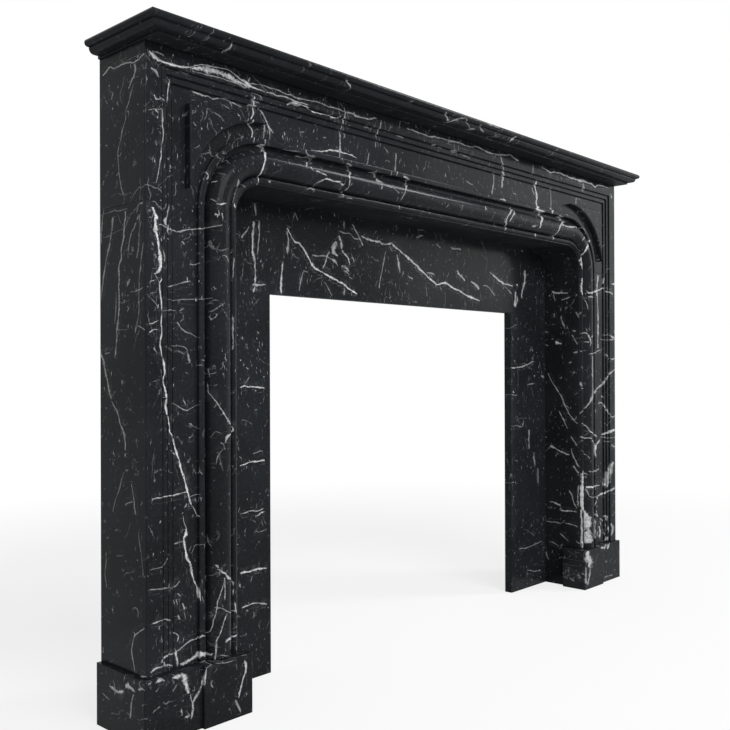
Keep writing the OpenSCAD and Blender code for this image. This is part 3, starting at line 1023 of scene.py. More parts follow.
@dataclass
class Shelf:
    """The moulded mantel shelf."""

    half: float = 769.5
    wall: float = 96.0
    front: float = -96.0
    top: float = 1100.0
    under: float = 1073.0
    nose: float = 12.0
    quirk_in: float = 8.0
    quirk_h: float = 1.5
    ovolo_r: float = 8.5
    square_in: float = 24.0
    rim: float = 2.0
    steps: tuple[int, int] = (30, 340)
    veins: tuple[Vein, ...] = ()

    def edge(self) -> Array:
        """Section of the moulded edge: nose, quirk, ovolo and square member.

        Returns:
            Inset and height of each point.
        """
        nose_r, foot = self.nose / 2, self.top - self.nose
        nose = arc((nose_r, self.top - nose_r), nose_r, 90.0, 270.0, 17)
        ovolo_x, ovolo_z = self.quirk_in + self.ovolo_r, foot - self.quirk_h
        ovolo = arc((ovolo_x, ovolo_z), self.ovolo_r, 180.0, 270.0, 13)
        last = ease([(ovolo_x, ovolo_z - self.ovolo_r, 0.0), (self.square_in, ovolo_z - self.ovolo_r, 0.4),
                     (self.square_in, self.under, 0.7), (self.square_in + self.rim, self.under, 0.0)])
        lead = np.array([[self.quirk_in + 0.5, self.top]])
        quirk = np.array([[self.quirk_in, foot], [self.quirk_in, ovolo_z]])
        return np.vstack([lead, nose, quirk, ovolo[1:], last[1:]])

    def ring(self, inset: float, height: float) -> Array:
        """Three sides of a rectangle: left end, front and right end.

        Args:
            inset: Distance from the shelf's outer edge.
            height: Height of the ring.

        Returns:
            Points in space from the wall on the left to the wall on the right.
        """
        x, y = self.half - inset, self.front + inset
        end = np.linspace(self.wall, y, self.steps[0] + 1)[:-1]
        run = np.linspace(-x, x, self.steps[1] + 1)
        left = np.column_stack([np.full(len(end), -x), end])
        front = np.column_stack([run, np.full(len(run), y)])
        right = np.column_stack([np.full(len(end), x), end[::-1]])
        return at_height(np.vstack([left, front, right]), height)

    def sheet(self, inset: float, height: float) -> Skin:
        """Level face inside a ring, with points where the ring has them.

        Args:
            inset: Distance from the shelf's outer edge.
            height: Height of the face.

        Returns:
            The face's skin.
        """
        x, y = self.half - inset, self.front + inset
        u, v = np.meshgrid(np.linspace(-x, x, self.steps[1] + 1), np.linspace(self.wall, y, self.steps[0] + 1))
        return Skin.grid(np.stack([u, v, np.full(u.shape, height)], axis=-1))

    def skin(self) -> Skin:
        """Moulded edge carried round three sides, with level faces above and below and a back.

        Returns:
            The closed skin.
        """
        edge = self.edge()
        rows = np.stack([self.ring(inset, height) for inset, height in edge])
        run = np.linspace(-1.0, 1.0, self.steps[1] + 1)
        back = np.stack([np.column_stack([run * (self.half - inset), np.full(len(run), self.wall),
                                          np.full(len(run), height)]) for inset, height in edge])
        return Skin.joined(Skin.grid(rows), self.sheet(*edge[0]), self.sheet(*edge[-1]), Skin.grid(back))

    def on_edge(self, place: Array) -> Array:
        """Picks the points of the moulded edge, without the level faces above and below."""
        return (place[:, 2] < self.top - 0.8) & (place[:, 2] > self.under + 0.2)

    def make(self, marble: bpy.types.Material) -> None:
        """Builds the shelf and lays the veins on its moulded edge."""
        piece = make_piece("shelf_stone", self.skin(), marble, "marble", "mantel_shelf")
        lay_veins(piece, [(Plane.FRONT, self.on_edge, self.veins)])


@dataclass
class Lintel:
    """The arched lintel stone with its side slabs and spandrel panels."""

    build: Build
    section: LegSection
    field_rows: int = 24
    back_rows: int = 4
    panel_x: float = 663.5
    panel_z: float = 993.0
    panel_r: float = 160.5
    panel_y: float = -40.0
    panel_d: float = 3.0
    panel_arris: float = 3.8
    panel_sunk: float = 1.0
    panel_steps: int = 56
    panel_corner: float = 0.42
    slab_r: float = 0.3
    veins: tuple[Vein, ...] = ()
    side_veins: tuple[Vein, ...] = ()

    def stone(self) -> Skin:
        """One net from the outer edge over the front to the opening and back behind.

        The border's rows follow the outer edge, the moulding's rows follow the opening, and the
        field between them is a straight mix of its two borders.

        Returns:
            The closed skin.
        """
        b = self.build
        border = spread(self.section.border(b.band, b.back), NET_STEP)
        moulding = spread(self.section.moulding(b.band, b.back), NET_STEP)
        outer_r = b.arch_r + self.section.moulding_w
        outer = np.stack([at_depth(b.round_edge(inset, b.body_x, b.top), y) for inset, y in border])
        inner = np.stack([at_depth(b.over(outer_r - inset), y) for inset, y in moulding])
        share = np.linspace(0.0, 1.0, self.field_rows + 2)[1:-1, None, None]
        field = outer[-1] * (1 - share) + inner[0] * share
        share = np.linspace(0.0, 1.0, self.back_rows + 2)[1:-1, None, None]
        behind = inner[-1] * (1 - share) + outer[0] * share
        front = np.concatenate([outer, field, inner])
        flat = front.copy()
        flat[..., 1] = b.back
        ends = [Skin.ruled(front[:, column], flat[:, column]) for column in (0, -1)]
        return Skin.joined(Skin.grid(np.concatenate([front, behind]), closed=True), *ends)

    def panel(self) -> Skin:
        """Raised spandrel panel between a corner and a circle round the arch's middle.

        A column runs from the outer edge to the circle. Across it the height follows the section
        wall, rounded arris, flat top, rounded arris, wall.

        Returns:
            The closed skin of the panel on the right.
        """
        b = self.build
        start = math.degrees(math.acos((self.panel_x - b.arch_x) / self.panel_r))
        circle = arc((b.arch_x, b.spring), self.panel_r, start, 90.0, self.panel_steps)
        rise = np.linspace(0.0, 1.0, self.panel_steps)
        turn = self.panel_corner
        up = np.clip(rise / turn, 0.0, 1.0)
        over = np.clip((rise - turn) / (1 - turn), 0.0, 1.0)
        outer = np.column_stack([self.panel_x + (b.arch_x - self.panel_x) * over,
                                 circle[0, 1] + (self.panel_z - circle[0, 1]) * up])
        width = np.linalg.norm(outer - circle, axis=1)
        reach = np.minimum(self.panel_arris, width / 3.0)
        base = b.band + self.section.field_d + self.panel_sunk
        bend = np.radians(np.linspace(0.0, 90.0, ARRIS_ROWS))
        arris = [(1 - math.cos(t), self.panel_y + self.panel_d * (1 - math.sin(t))) for t in bend]
        profile = [(0.0, 0.0, base)] + [(0.0, side, y) for side, y in arris]
        profile += [(k, 1 - 2 * k, self.panel_y) for k in np.linspace(0.1, 0.9, 8)]
        profile += [(1.0, -side, y) for side, y in arris[::-1]] + [(1.0, 0.0, base)]
        ahead = (circle - outer) / np.maximum(width, 1e-6)[:, None]
        net = np.stack([at_depth(outer + ahead * (k * width + side * reach)[:, None], y) for k, side, y in profile])
        middle = np.broadcast_to(net[:, -1].mean(axis=0), net[:, -1].shape)
        return Skin.joined(Skin.grid(net, closed=True), Skin.ruled(net[:, -1], middle))

    def make(self, marble: bpy.types.Material) -> None:
        """Builds the lintel, its panels and its side slabs.

        Args:
            marble: Finish of all of them.
        """
        b, panel = self.build, self.panel()
        whole = Skin.joined(self.stone(), panel, panel.mirrored())
        piece = make_piece("lintel_stone", whole, marble, "marble", "lintel")
        lay_veins(piece, [(Plane.FRONT, within(b.face_x), self.veins),
                          (Plane.SIDE, left_of(b.face_x), self.side_veins)])
        for side in Side:
            name = side.value
            slab = side_slab(side, b.body_x - b.slab, b.body_x, b.back, b.wall, b.spring, b.top, self.slab_r)
            piece = make_piece("lintel_side_" + name, slab, marble, "marble", "lintel_return_" + name)
            lay_veins(piece, [(Plane.SIDE, left_of(0.0), self.side_veins)])


def side_slab(side: Side, x0: float, x1: float, y0: float, y1: float, z0: float, z1: float, arris: float) -> Skin:
    """A flat slab on one side, with small eased arrises.

    Args:
        side: Left or right half.
        x0: Inner X of the slab on the right half.
        x1: Outer X.
        y0: Front Y.
        y1: Back Y.
        z0: Foot.
        z1: Head.
        arris: Radius of the arrises.

    Returns:
        The slab's skin.
    """
    chain = spread(ease([(x0, y1, 0.0), (x0, y0, arris), (x1, y0, arris), (x1, y1, 0.0)]), SLAB_STEP)
    return on_side(upright(chain, y1, z0, z1, arris, arris, SLAB_STEP), side)


def on_side(skin: Skin, side: Side) -> Skin:
    """A skin drawn on the right half, as it lies on a half."""
    return skin if side is Side.RIGHT else skin.mirrored()


@dataclass
class Leg:
    """One leg: the moulded front stone, its side slab and the slab inside the opening."""

    side: Side
    build: Build
    section: LegSection
    foot: float = 101.0
    head: float = 829.0
    end_r: float = 0.25
    veins: tuple[Vein, ...] = ()
    side_veins: tuple[Vein, ...] = ()
    inner_veins: tuple[Vein, ...] = ()

    def plan(self) -> Array:
        """Plan of the front stone on the right half.

        Returns:
            X and Y of each point, from the opening to the outside.
        """
        b = self.build
        border = self.section.border(b.band, b.back)
        moulding = self.section.moulding(b.band, b.back)
        moulding[:, 0] += b.body_x - b.opening_x - self.section.moulding_w
        chain = np.vstack([border, moulding])
        chain[:, 0] = b.body_x - chain[:, 0]
        return spread(chain[::-1], NET_STEP)

    def make(self, marble: bpy.types.Material, inner: bpy.types.Material) -> None:
        """Builds the three stones of the leg.

        Args:
            marble: Finish of the front stone and the side slab.
            inner: Finish of the slab inside the opening.
        """
        b, name, r = self.build, self.side.value, self.end_r
        stone = upright(self.plan(), b.back, self.foot, self.head, r, r, NET_STEP)
        piece = make_piece("leg_stone_" + name, on_side(stone, self.side), marble, "marble", "jamb_" + name)
        outside, inside = beyond(b.face_x), within(b.opening_x + b.near)
        lay_veins(piece, [(Plane.FRONT, lambda p: ~outside(p) & ~inside(p), self.veins),
                          (Plane.SIDE, outside, self.side_veins), (Plane.SIDE, inside, self.inner_veins)])
        slab = side_slab(self.side, b.body_x - b.slab, b.body_x, b.back, b.wall, self.foot, self.head, r)
        piece = make_piece("leg_side_" + name, slab, marble, "marble", "jamb_return_" + name)
        lay_veins(piece, [(Plane.SIDE, everywhere, self.side_veins)])
        slab = side_slab(self.side, b.opening_x, b.opening_x + b.slab, b.back, b.slip, 0.0, self.head, r)
        piece = make_piece("leg_inner_" + name, slab, inner, "marble", "ingoing_" + name)
        lay_veins(piece, [(Plane.SIDE, everywhere, self.inner_veins)])


@dataclass
class Plinth:
    """One plinth: a front stone with a block that stands forward, and a side stone."""

    side: Side
    build: Build
    height: float = 100.0
    outer_x: float = 750.5
    front: float = -43.0
    block_x: float = 646.0
    block_in: float = 548.5
    block_front: float = -50.0
    arris: float = 1.8
    corner_r: float = 0.5
    foot_r: float = 0.6
    slab_r: float = 0.3
    step: float = 4.0
    near: float = 0.6
    veins: tuple[Vein, ...] = ()
    side_veins: tuple[Vein, ...] = ()

    def make(self, marble: bpy.types.Material) -> None:
        """Builds the two stones of the plinth.

        Args:
            marble: Finish of both.
        """
        b, r, name = self.build, self.arris, self.side.value
        chain = ease([(self.block_in, b.back, 0.0), (self.block_in, self.block_front, r),
                      (self.block_x, self.block_front, r), (self.block_x, self.front, self.corner_r),
                      (self.outer_x, self.front, r), (self.outer_x, b.back, 0.0)])
        stone = upright(spread(chain, self.step), b.back, 0.0, self.height, self.foot_r, r, self.step)
        piece = make_piece("plinth_stone_" + name, on_side(stone, self.side), marble, "marble", "plinth_" + name)
        edge = self.outer_x - self.near
        lay_veins(piece, [(Plane.FRONT, within(edge), self.veins), (Plane.SIDE, beyond(edge), self.side_veins)])
        slab = side_slab(self.side, b.body_x - b.slab, self.outer_x, b.back, b.wall, 0.0, self.height, self.slab_r)
        piece = make_piece("plinth_side_" + name, slab, marble, "marble", "plinth_return_" + name)
        lay_veins(piece, [(Plane.SIDE, everywhere, self.side_veins)])


@dataclass
class Slips:
    """The flat slips round the fire opening and the soffit stone in front of them."""

    build: Build
    fire_x: float = 401.0
    fire_h: float = 713.0
    bed: float = 1.0
    arris: float = 0.8
    end_r: float = 0.3
    soffit_step: float = 9.0
    header_veins: tuple[Vein, ...] = ()
    left_veins: tuple[Vein, ...] = ()
    right_veins: tuple[Vein, ...] = ()

    def flat(self, x0: float, x1: float, z0: float, z1: float) -> Skin:
        """A slip between two X and two heights.

        Args:
            x0: Left X.
            x1: Right X.
            z0: Foot.
            z1: Head.

        Returns:
            The slip's skin.
        """
        b, r = self.build, self.arris
        chain = ease([(x0, b.wall, 0.0), (x0, b.slip, r), (x1, b.slip, r), (x1, b.wall, 0.0)])
        return upright(spread(chain, NET_STEP), b.wall, z0, z1, self.end_r, self.end_r, NET_STEP)

    def soffit(self) -> Skin:
        """Net from the opening's rounded edge, back through the depth and round behind.

        Returns:
            The closed skin.
        """
        b = self.build
        depth = spread(np.array([[b.back, 0.0], [b.slip, 0.0]]), self.soffit_step)[:, 0]
        outer = b.round_edge(0.0, b.opening_x + b.slab, b.opening_top + b.slab)
        net = np.stack([at_depth(b.over(b.arch_r), y) for y in depth]
                       + [at_depth(outer, b.slip), at_depth(outer, b.back)])
        count = len(depth)
        ends = [Skin.ruled(net[:count, c], np.repeat(net[-1:, c], count, axis=0)) for c in (0, -1)]
        ends += [Skin.ruled(net[[count - 1, count], c], net[[-1, -1], c]) for c in (0, -1)]
        return Skin.joined(Skin.grid(net, closed=True), *ends)

    def make(self, header: bpy.types.Material, slips: bpy.types.Material, soffit: bpy.types.Material) -> None:
        """Builds the three slips and the soffit stone.

        Args:
            header: Finish of the header slip.
            slips: Finish of the upright slips.
            soffit: Finish of the soffit stone.
        """
        b = self.build
        edge, top = b.opening_x + b.slab, b.opening_top + b.slab
        head = self.flat(-edge, edge, self.fire_h + self.bed, top)
        left = self.flat(-edge, -self.fire_x, 0.0, self.fire_h)
        right = self.flat(self.fire_x, edge, 0.0, self.fire_h)
        for name, skin, marble, node, veins in (
                ("header_slip_stone", head, header, "header_slip", self.header_veins),
                ("slip_stone_left", left, slips, "slip_left", self.left_veins),
                ("slip_stone_right", right, slips, "slip_right", self.right_veins),
                ("soffit_stone", self.soffit(), soffit, "soffit", ())):
            lay_veins(make_piece(name, skin, marble, "marble", node), [(Plane.FRONT, everywhere, veins)])


@dataclass(frozen=True)
class HiddenParts:
    """Beds, dowels, offcuts, brackets and screws, which keep their CAD shapes."""

    resin: tuple[str, ...] = ("shelf_bed", "lintel_beds", "jamb_beds", "slip_beds")
    steel: tuple[str, ...] = ("shelf_dowels", "lintel_dowels", "plinth_dowels", "leg_brackets", "lintel_brackets",
                              "leg_bracket_screws", "lintel_bracket_screws")
    offcuts: tuple[str, ...] = ("corner_blocks_left", "corner_blocks_right", "lintel_corner_blocks",
                                "soffit_cleats", "shelf_support")

    def make(self) -> None:
        """Gives each node its finish."""
        for nodes, finish in ((self.resin, Resin()), (self.steel, Galvanised()), (self.offcuts, SawnStone())):
            material = finish.build()
            for node in nodes:
                dress_node(node, material)


# Studio --------------------------------------------------------------------------------------


@dataclass(frozen=True)
class Lamp:
    """A soft rectangular lamp."""

    name: str
    place: Triple
    target: Triple
    size: tuple[float, float]
    power: float

    def make(self) -> None:
        """Adds the lamp, facing its target."""
        data = bpy.data.lights.new(self.name, "AREA")
        data.shape, data.energy = "RECTANGLE", self.power
        data.size, data.size_y = self.size
        lamp = bpy.data.objects.new(self.name, data)
        lamp.location = self.place
        lamp.rotation_euler = (Vector(self.target) - Vector(self.place)).to_track_quat("-Z", "Y").to_euler()
        bpy.context.scene.collection.objects.link(lamp)


@dataclass(frozen=True)
class Viewpoint:
    """The photograph's camera, fitted to the surround's edges."""

    place: Triple = (-1.49288, -1.20298, 0.56859)
    yaw: float = 0.82536
    pitch: float = 0.00207
    roll: float = -0.00335
    focal_px: float = 885.39
    centre_px: tuple[float, float] = (375.77, 368.58)
    frame_px: float = 730.0
    sensor: float = 36.0
    clip: tuple[float, float] = (0.05, 60.0)

    def make(self) -> None:
        """Adds the camera. Its back axis is minus the view, its up axis is turned by the roll."""
        view = np.array([math.sin(self.yaw) * math.cos(self.pitch), math.cos(self.yaw) * math.cos(self.pitch),
                         math.sin(self.pitch)])
        right = np.cross(view, [0.0, 0.0, 1.0])
        right /= np.linalg.norm(right)
        up = np.cross(right, view)
        c, s = math.cos(self.roll), math.sin(self.roll)
        across, above = c * right + s * up, c * up - s * right
        data = bpy.data.cameras.new("camera")
        data.sensor_width = self.sensor
        data.lens = self.focal_px * self.sensor / self.frame_px
        data.shift_x = (self.frame_px / 2 - self.centre_px[0]) / self.frame_px
        data.shift_y = (self.centre_px[1] - self.frame_px / 2) / self.frame_px
        data.clip_start, data.clip_end = self.clip
        camera = bpy.data.objects.new("camera", data)
        turn = Matrix((across, above, -view)).transposed()
        camera.matrix_world = Matrix.Translation(self.place) @ turn.to_4x4()
        bpy.context.scene.collection.objects.link(camera)
        bpy.context.scene.camera = camera


@dataclass(frozen=True)
class Studio:
    """Plain pale floor, soft lamps and a white surround."""

    lamps: tuple[Lamp, ...] = (
        Lamp("key", (-0.9, -3.4, 2.8), (0.0, 0.0, 0.6), (2.6, 2.0), 124.0),
        Lamp("edge", (2.2, -1.35, 2.95), (-0.3, -0.04, 0.93), (0.5, 1.1), 40.0),
        Lamp("arch", (-1.62, -1.75, 3.2), (-0.55, -0.03, 0.9), (0.45, 0.45), 9.0),
        Lamp("side high", (2.75, -1.6, 1.5), (0.0, 0.0, 1.2), (1.3, 1.1), 8.0),
        Lamp("side low", (2.75, -1.6, 0.5), (0.0, 0.0, 0.4), (1.3, 0.8), 2.2),
    )
    floor_half: float = 9.0
    floor_cells: int = 18
    floor_tone: float = 0.88
    floor_roughness: float = 0.9
    glow: tuple[float, float, float, float] = (1.0, 2.8, 0.75, 1.0)
    soft: float = 0.32

    def floor(self) -> None:
        """A pale floor, large enough for every view, that keeps the contact shadow.

        Where the camera, gloss and glass look, it mixes towards plain white with the distance
        from the middle.
        """
        side = np.linspace(-self.floor_half, self.floor_half, self.floor_cells + 1)
        u, v = np.meshgrid(side, side)
        net = Skin.grid(np.stack([u, v, np.zeros(u.shape)], axis=-1)[::-1])
        mesh = bpy.data.meshes.new("floor")
        mesh.from_pydata(net.points.tolist(), [], net.faces.tolist())
        g = Graph("pale floor")
        g.shader.inputs["Base Color"].default_value = grey(self.floor_tone)
        g.shader.inputs["Roughness"].default_value = self.floor_roughness
        away = g.add("VectorMath", 1, settings={"operation": "LENGTH"}, i0=g.add("TexCoord", "Object"))
        share = g.math("MULTIPLY", g.looked_at(), g.span(away, *self.glow))
        white = g.add("Emission", Color=grey(1.0), Strength=1.0)
        g.put(g.output.inputs[0], g.add("MixShader", i0=share, i1=g.shader.outputs[0], i2=white))
        mesh.materials.append(g.material)
        floor = bpy.data.objects.new("floor", mesh)
        bpy.context.scene.collection.objects.link(floor)

    def world(self) -> None:
        """White where the camera, gloss and glass look, and a soft pale light elsewhere."""
        world = bpy.data.worlds.new("studio")
        bpy.context.scene.world = world
        g = Graph.of_world(world)
        soft, white = (g.add("Background", Color=grey(1.0), Strength=level) for level in (self.soft, 1.0))
        g.put(g.output.inputs[0], g.add("MixShader", i0=g.looked_at(), i1=soft, i2=white))

    def make(self) -> None:
        """Sets up floor, world, lamps and camera."""
        bpy.context.scene.view_settings.view_transform = "Standard"
        self.floor()
        self.world()
        for lamp in self.lamps:
            lamp.make()
        Viewpoint().make()


# Vein guides ---------------------------------------------------------------------------------


def drawn(*rows: tuple[tuple[float, ...], float | tuple[float, ...], float]) -> tuple[Vein, ...]:
    """Makes veins of rows that hold a centreline, its half width and its whiteness.

    Args:
        rows: The rows. A centreline is its first point and then the step to each next point.

    Returns:
        The veins.
    """
    lines = [np.cumsum(np.reshape(steps, (-1, 2)), axis=0).ravel() for steps, _, _ in rows]
    return tuple(Vein(tuple(line), half, white) for line, (_, half, white) in zip(lines, rows))


LINTEL_VEINS_AND_ROLL_HIGHLIGHT = drawn(
    ((371, 1064, 17, -2, 24, -4, 17, 3, 29, 2, 39, -3, 51, 0, 22, 2, 22, -2, 22, 1, 23, -6, 18, 8, 59, 0), (1.1,
      1.2, 1.3, 1.5, 1.6, 2, 2.8, 2.6, 2.3, 1.7, 1.6, 1.5, 1.4), 0.95),
    ((-742, 965, 17, 6), 0.5, 0.34),
    ((-737, 1058, 11, -8, 7, -3, 44, 0, 11, 2, 12, 4), (1.6, 2.9, 2.2, 1.8, 1.6, 1.5), 0.87),
    ((-733, 1056, 9, 4, 9, -1, 12, -5), 1.4, 0.5),
    ((-730, 1054, 15, -3), 1.4, 0.39),
    ((-662, 1049, 14, 3, 27, 4, 28, 0, 55, -10), (1.7, 2.9, 4.3, 4.4, 2.1), 0.8),
    ((-660, 1051, 15, 7, 16, 4, 32, 2, 14, 2, 26, -11, 14, -3), 1, 0.74),
    ((-660, 1046, 19, 0, 40, 2, 33, -1, 23, -4), 0.7, 0.5),
    ((-732, 1033, 11, -6, 2, -6), (1.6, 3.2, 2.7), 0.39),
    ((-695, 1023, -4, -33, -4, -11), 1.1, 0.56),
    ((-726, 996, 1, -7, 4, -5, 4, 5, 7, 2, 5, -5), (1.1, 1.1, 0.9, 0.8, 1, 1.1), 0.5),
    ((-725, 974, 2, -6, 5, -2), 1.2, 0.45),
    ((-723, 971, 7, 1, 6, 7), 0.6, 0.39),
    ((-710, 979, 0, -25, 2, -9, 0, -11, -2, -12, -4, -12, 0, -10, -9, -44), (1.2, 1.2, 1.3, 1.2, 1, 1, 1, 0.6),
      0.56),
    ((-688, 968, 6, -5), 1, 0.39),
    ((-654, 1018, 12, -2, 12, -1, 12, 1, 8, -3, 12, 5, 12, 1, 12, -1, 24, -5), 1.1, 0.5),
    ((-590, 1010, 8, -4, 10, -1), 0.8, 0.39),
    ((-578, 1017, 6, -3, 3, -7), 1.1, 0.39),
    ((-626, 1006, 8, 2), 1, 0.29),
    ((-681, 1042, 23, -2), (0.5, 1), 0.29),
    ((-658, 965, 4, -6, 4, -2), 1, 0.34),
    ((-550, 1006, 6, -8, -5, -12), 0.9, 0.34),
    ((-628, 890, 5, -6, -5, -6), 1.3, 0.45),
    ((-617, 848, 5, -5), 1.4, 0.39),
    ((-612, 839, 8, 1, 8, 3), 1.3, 0.74),
    ((-570, 885, 5, -7, 2, -7, -6, -11, -4, -12), (2, 4.1, 0.4, 0.5, 0.7), 0.39),
    ((-570, 846, 0, -5), 1.4, 0.87),
    ((-681, 867, 0, -13, -2, -10), 0.8, 0.29),
    ((-560, 1056, 13, -2, 9, -5, 35, -2), (2.4, 2.5, 2.3, 1.3), 0.87),
    ((-543, 1053, 31, 4, 41, -1, 13, -2, 12, 1, 14, -2, 57, 4, 20, -3, 18, 2, 19, -2, 21, 1, 19, -2, 19, 0, 17,
      2, 12, 4, 8, 0), (1, 1, 1.1, 1.1, 1.1, 1.1, 1.1, 1.1, 1.1, 1.3, 1.3, 1.3, 1.1, 1.2, 1.6, 1), 0.52),
    ((-503, 1047, 13, 2, 12, -3, 13, 3, 36, -3, 26, 1), 1.2, 0.62),
    ((-453, 1037, 12, 5, 14, 1, 24, -1, 11, -3, 12, -1, 28, 2, 13, -1, 13, 1, 5, 2), (1, 1.4, 1.6, 0.4, 1.6,
      1.6, 1.5, 1.7, 1.4, 1.2), 0.8),
    ((-313, 1065, 3, -13, -3, -13, 1, -11, -6, -8, 3, -10, 0, -32, -2, -15), (1.5, 2.2, 1.6, 1.5, 0.4, 1.9, 1.8,
      1.8), 0.52),
    ((-534, 1042, 20, -3, 7, -4), (0.5, 1, 1.1), 0.5),
    ((-531, 1031, 17, -4), 1.2, 0.62),
    ((-538, 1020, 22, 0), (1.9, 0.9), 0.74),
    ((-516, 1022, 9, -6, 13, -17, 5, -7, 9, -9), (1.5, 1.3, 1.2, 1.5, 1), 0.5),
    ((-527, 1037, 2, -20, 0, -12, -11, -17, 9, -9, 0, -12, -2, -10), 1.4, 0.74),
    ((-500, 998, 0, -21, -4, -12, 0, -8), (1.1, 1.6, 1.3, 0.6), 0.45),
    ((-491, 996, 4, -16, -2, -11), 1.3, 0.34),
    ((-538, 1066, -5, -11), 1.1, 0.5),
    ((-517, 956, 19, -3, -12, -16, -6, -23, 0, -10, -3, -4), (0.7, 1.8, 1.7, 1.3, 1.6, 0.6), 0.87),
    ((-519, 900, 1, -12), (0.6, 1.9), 0.8),
    ((-455, 990, 3, -7), 1.6, 0.39),
    ((-404, 980, -5, -15, 5, -8, 19, -2, -15, -14), (1.1, 1.1, 1, 1.6, 1.1), 0.39),
    ((-424, 954, 24, 0), 1.1, 0.62),
    ((-400, 949, -18, -17), 1.6, 0.5),
    ((-392, 969, 20, 2, 18, 3, 15, 5, 16, 1, 35, -1, 19, -3), (0.5, 0.8, 1.2, 1.3, 1.5, 1.2, 0.7), 0.74),
    ((-463, 957, 21, 0, 19, 4), 0.4, 0.29),
    ((-304, 959, 18, -6, -19, -19, -3, -23, -5, -6), (1.2, 1.6, 1.3, 1.2, 1.3), 0.5),
    ((-317, 906, 5, -10), (1, 1.8), 0.62),
    ((-329, 915, 8, -1), 1.6, 0.62),
    ((-389, 907, 8, 5, 13, 6, 15, 0, 13, -1, 10, 1), (0.7, 0.8, 1, 1.3, 1.8, 1.3), 0.72),
    ((-394, 928, 27, -3), 1.2, 0.59),
    ((-235, 956, 22, -3, -18, -17), (0.4, 1.8, 1.8), 0.56),
    ((-231, 936, 21, 1), 1.4, 0.56),
    ((-235, 992, -3, -14, -5, -14), 1.6, 0.39),
    ((-216, 932, -4, -11), 1.6, 0.45),
    ((-205, 930, 20, -1, 18, -8), 1, 0.34),
    ((-407, 895, 11, 4, 7, -5), 1.4, 0.39),
    ((-390, 905, 3, -9), (0.8, 1.5), 0.39),
    ((-304, 894, 16, 0), 1.1, 0.39),
    ((-498, 895, 7, 0), 1.1, 0.39),
    ((-210, 1059, -3, -16, -5, -12, 1, -11, 2, -13), (1.6, 1.7, 1.2, 0.4, 1.7), 0.45),
    ((-192, 1011, 15, -9), 1.1, 0.34),
    ((-156, 1006, 0, -14, -5, -34), 1.7, 0.39),
    ((-359, 999, 8, 0), 1.3, 0.34),
    ((-132, 1059, 67, -3, 27, 3, 47, 1, 25, 2, 47, -2, 26, 5, 49, -5, 56, 5, 24, 5, 21, -6, 17, -2), (1.1, 1.1,
      1.2, 1.9, 1.4, 1.3, 1.3, 1.5, 1.5, 1.6, 1.8, 1.3), 0.59),
    ((-153, 1071, -4, -21), 1.1, 0.29),
    ((-51, 1042, 13, -1), (0.4, 2.1), 0.62),
    ((-28, 1040, 24, 0), 1.3, 0.39),
    ((16, 1040, 22, 2), 1.7, 0.56),
    ((48, 1039, 29, -1), 1.2, 0.34),
    ((-162, 1040, 24, -2), 1.2, 0.39),
    ((196, 1062, 24, -41, -4, -16, 0, -14), (2, 2.6, 2.5, 3.2), 0.48),
    ((180, 1022, 4, -17, -8, -34), 2.5, 0.39),
    ((3, 991, 3, -8), 2, 0.34),
    ((78, 986, 25, -5), 1.6, 0.34),
    ((-143, 961, 24, -7, -24, -19, -9, -15, -4, -10), (1.3, 1.8, 1.3, 1.2, 1.1), 0.52),
    ((-155, 903, 2, -12), 0.7, 0.45),
    ((334, 1063, 0, -24), 1.8, 0.29),
    ((128, 935, -1, -9), 2.2, 0.45),
    ((361, 1031, -5, -10, 1, -9, 8, -21, -4, -13, 4, -9, -16, -10), 3.6, 0.84),
    ((343, 1012, 5, -11, 8, -6), 2.4, 0.39),
    ((425, 1024, 5, -31, -1, -18), 2, 0.29),
    ((429, 973, -7, -15), 3.2, 0.68),
    ((455, 958, 30, -8, -37, -19, -9, -14, -4, -10, -9, -13), (1.9, 3.1, 2.2, 2.7, 2.8, 3.7), 0.59),
    ((349, 959, 37, -4, -19, -16, -13, -15, 1, -11), (2.3, 2.8, 3.1, 3.9, 3.4), 0.8),
    ((260, 951, -30, -16, -16, -11, -3, -12, 11, -9, -4, -10), (2.1, 1.6, 2, 2.5, 1, 2.6), 0.62),
    ((249, 940, -15, -14, -9, -12), (1.4, 2.1, 2.6), 0.62),
    ((197, 962, 12, 1, 12, -2), 1.8, 0.5),
    ((212, 1027, 8, -7, -4, -15, 0, -14), (2.6, 2.9, 2.3, 2), 0.5),
    ((261, 986, 13, -1), 1.6, 0.34),
    # Its first stretch runs along the roll at the height of the roll's highlight: partly vein, partly painted
    # highlight.
    ((450, 933, 23, -2, 29, 1, 66, 7, 20, -14, -27, -15, -8, -8), (2.2, 2.1, 2, 0.4, 0.4, 2.9, 1.8), 0.62),
    ((610, 909, -29, -18, -9, -13, -3, -10, -6, -11, 5, -13, 1, -13), (2.7, 3.4, 2.8, 1.6, 2.8, 2.5, 1.8),
      0.74),
    ((552, 1015, 0, -16), 3.3, 0.45),
    ((572, 1056, 5, -22), 3.3, 0.45),
    ((723, 1052, 6, -16), 4.5, 0.56),
    ((335, 915, -16, -2), 1.9, 0.5),
    ((345, 898, 4, -5), (4.5, 2.5), 0.56),
    ((409, 953, 5, -4), 2.3, 0.39),
)

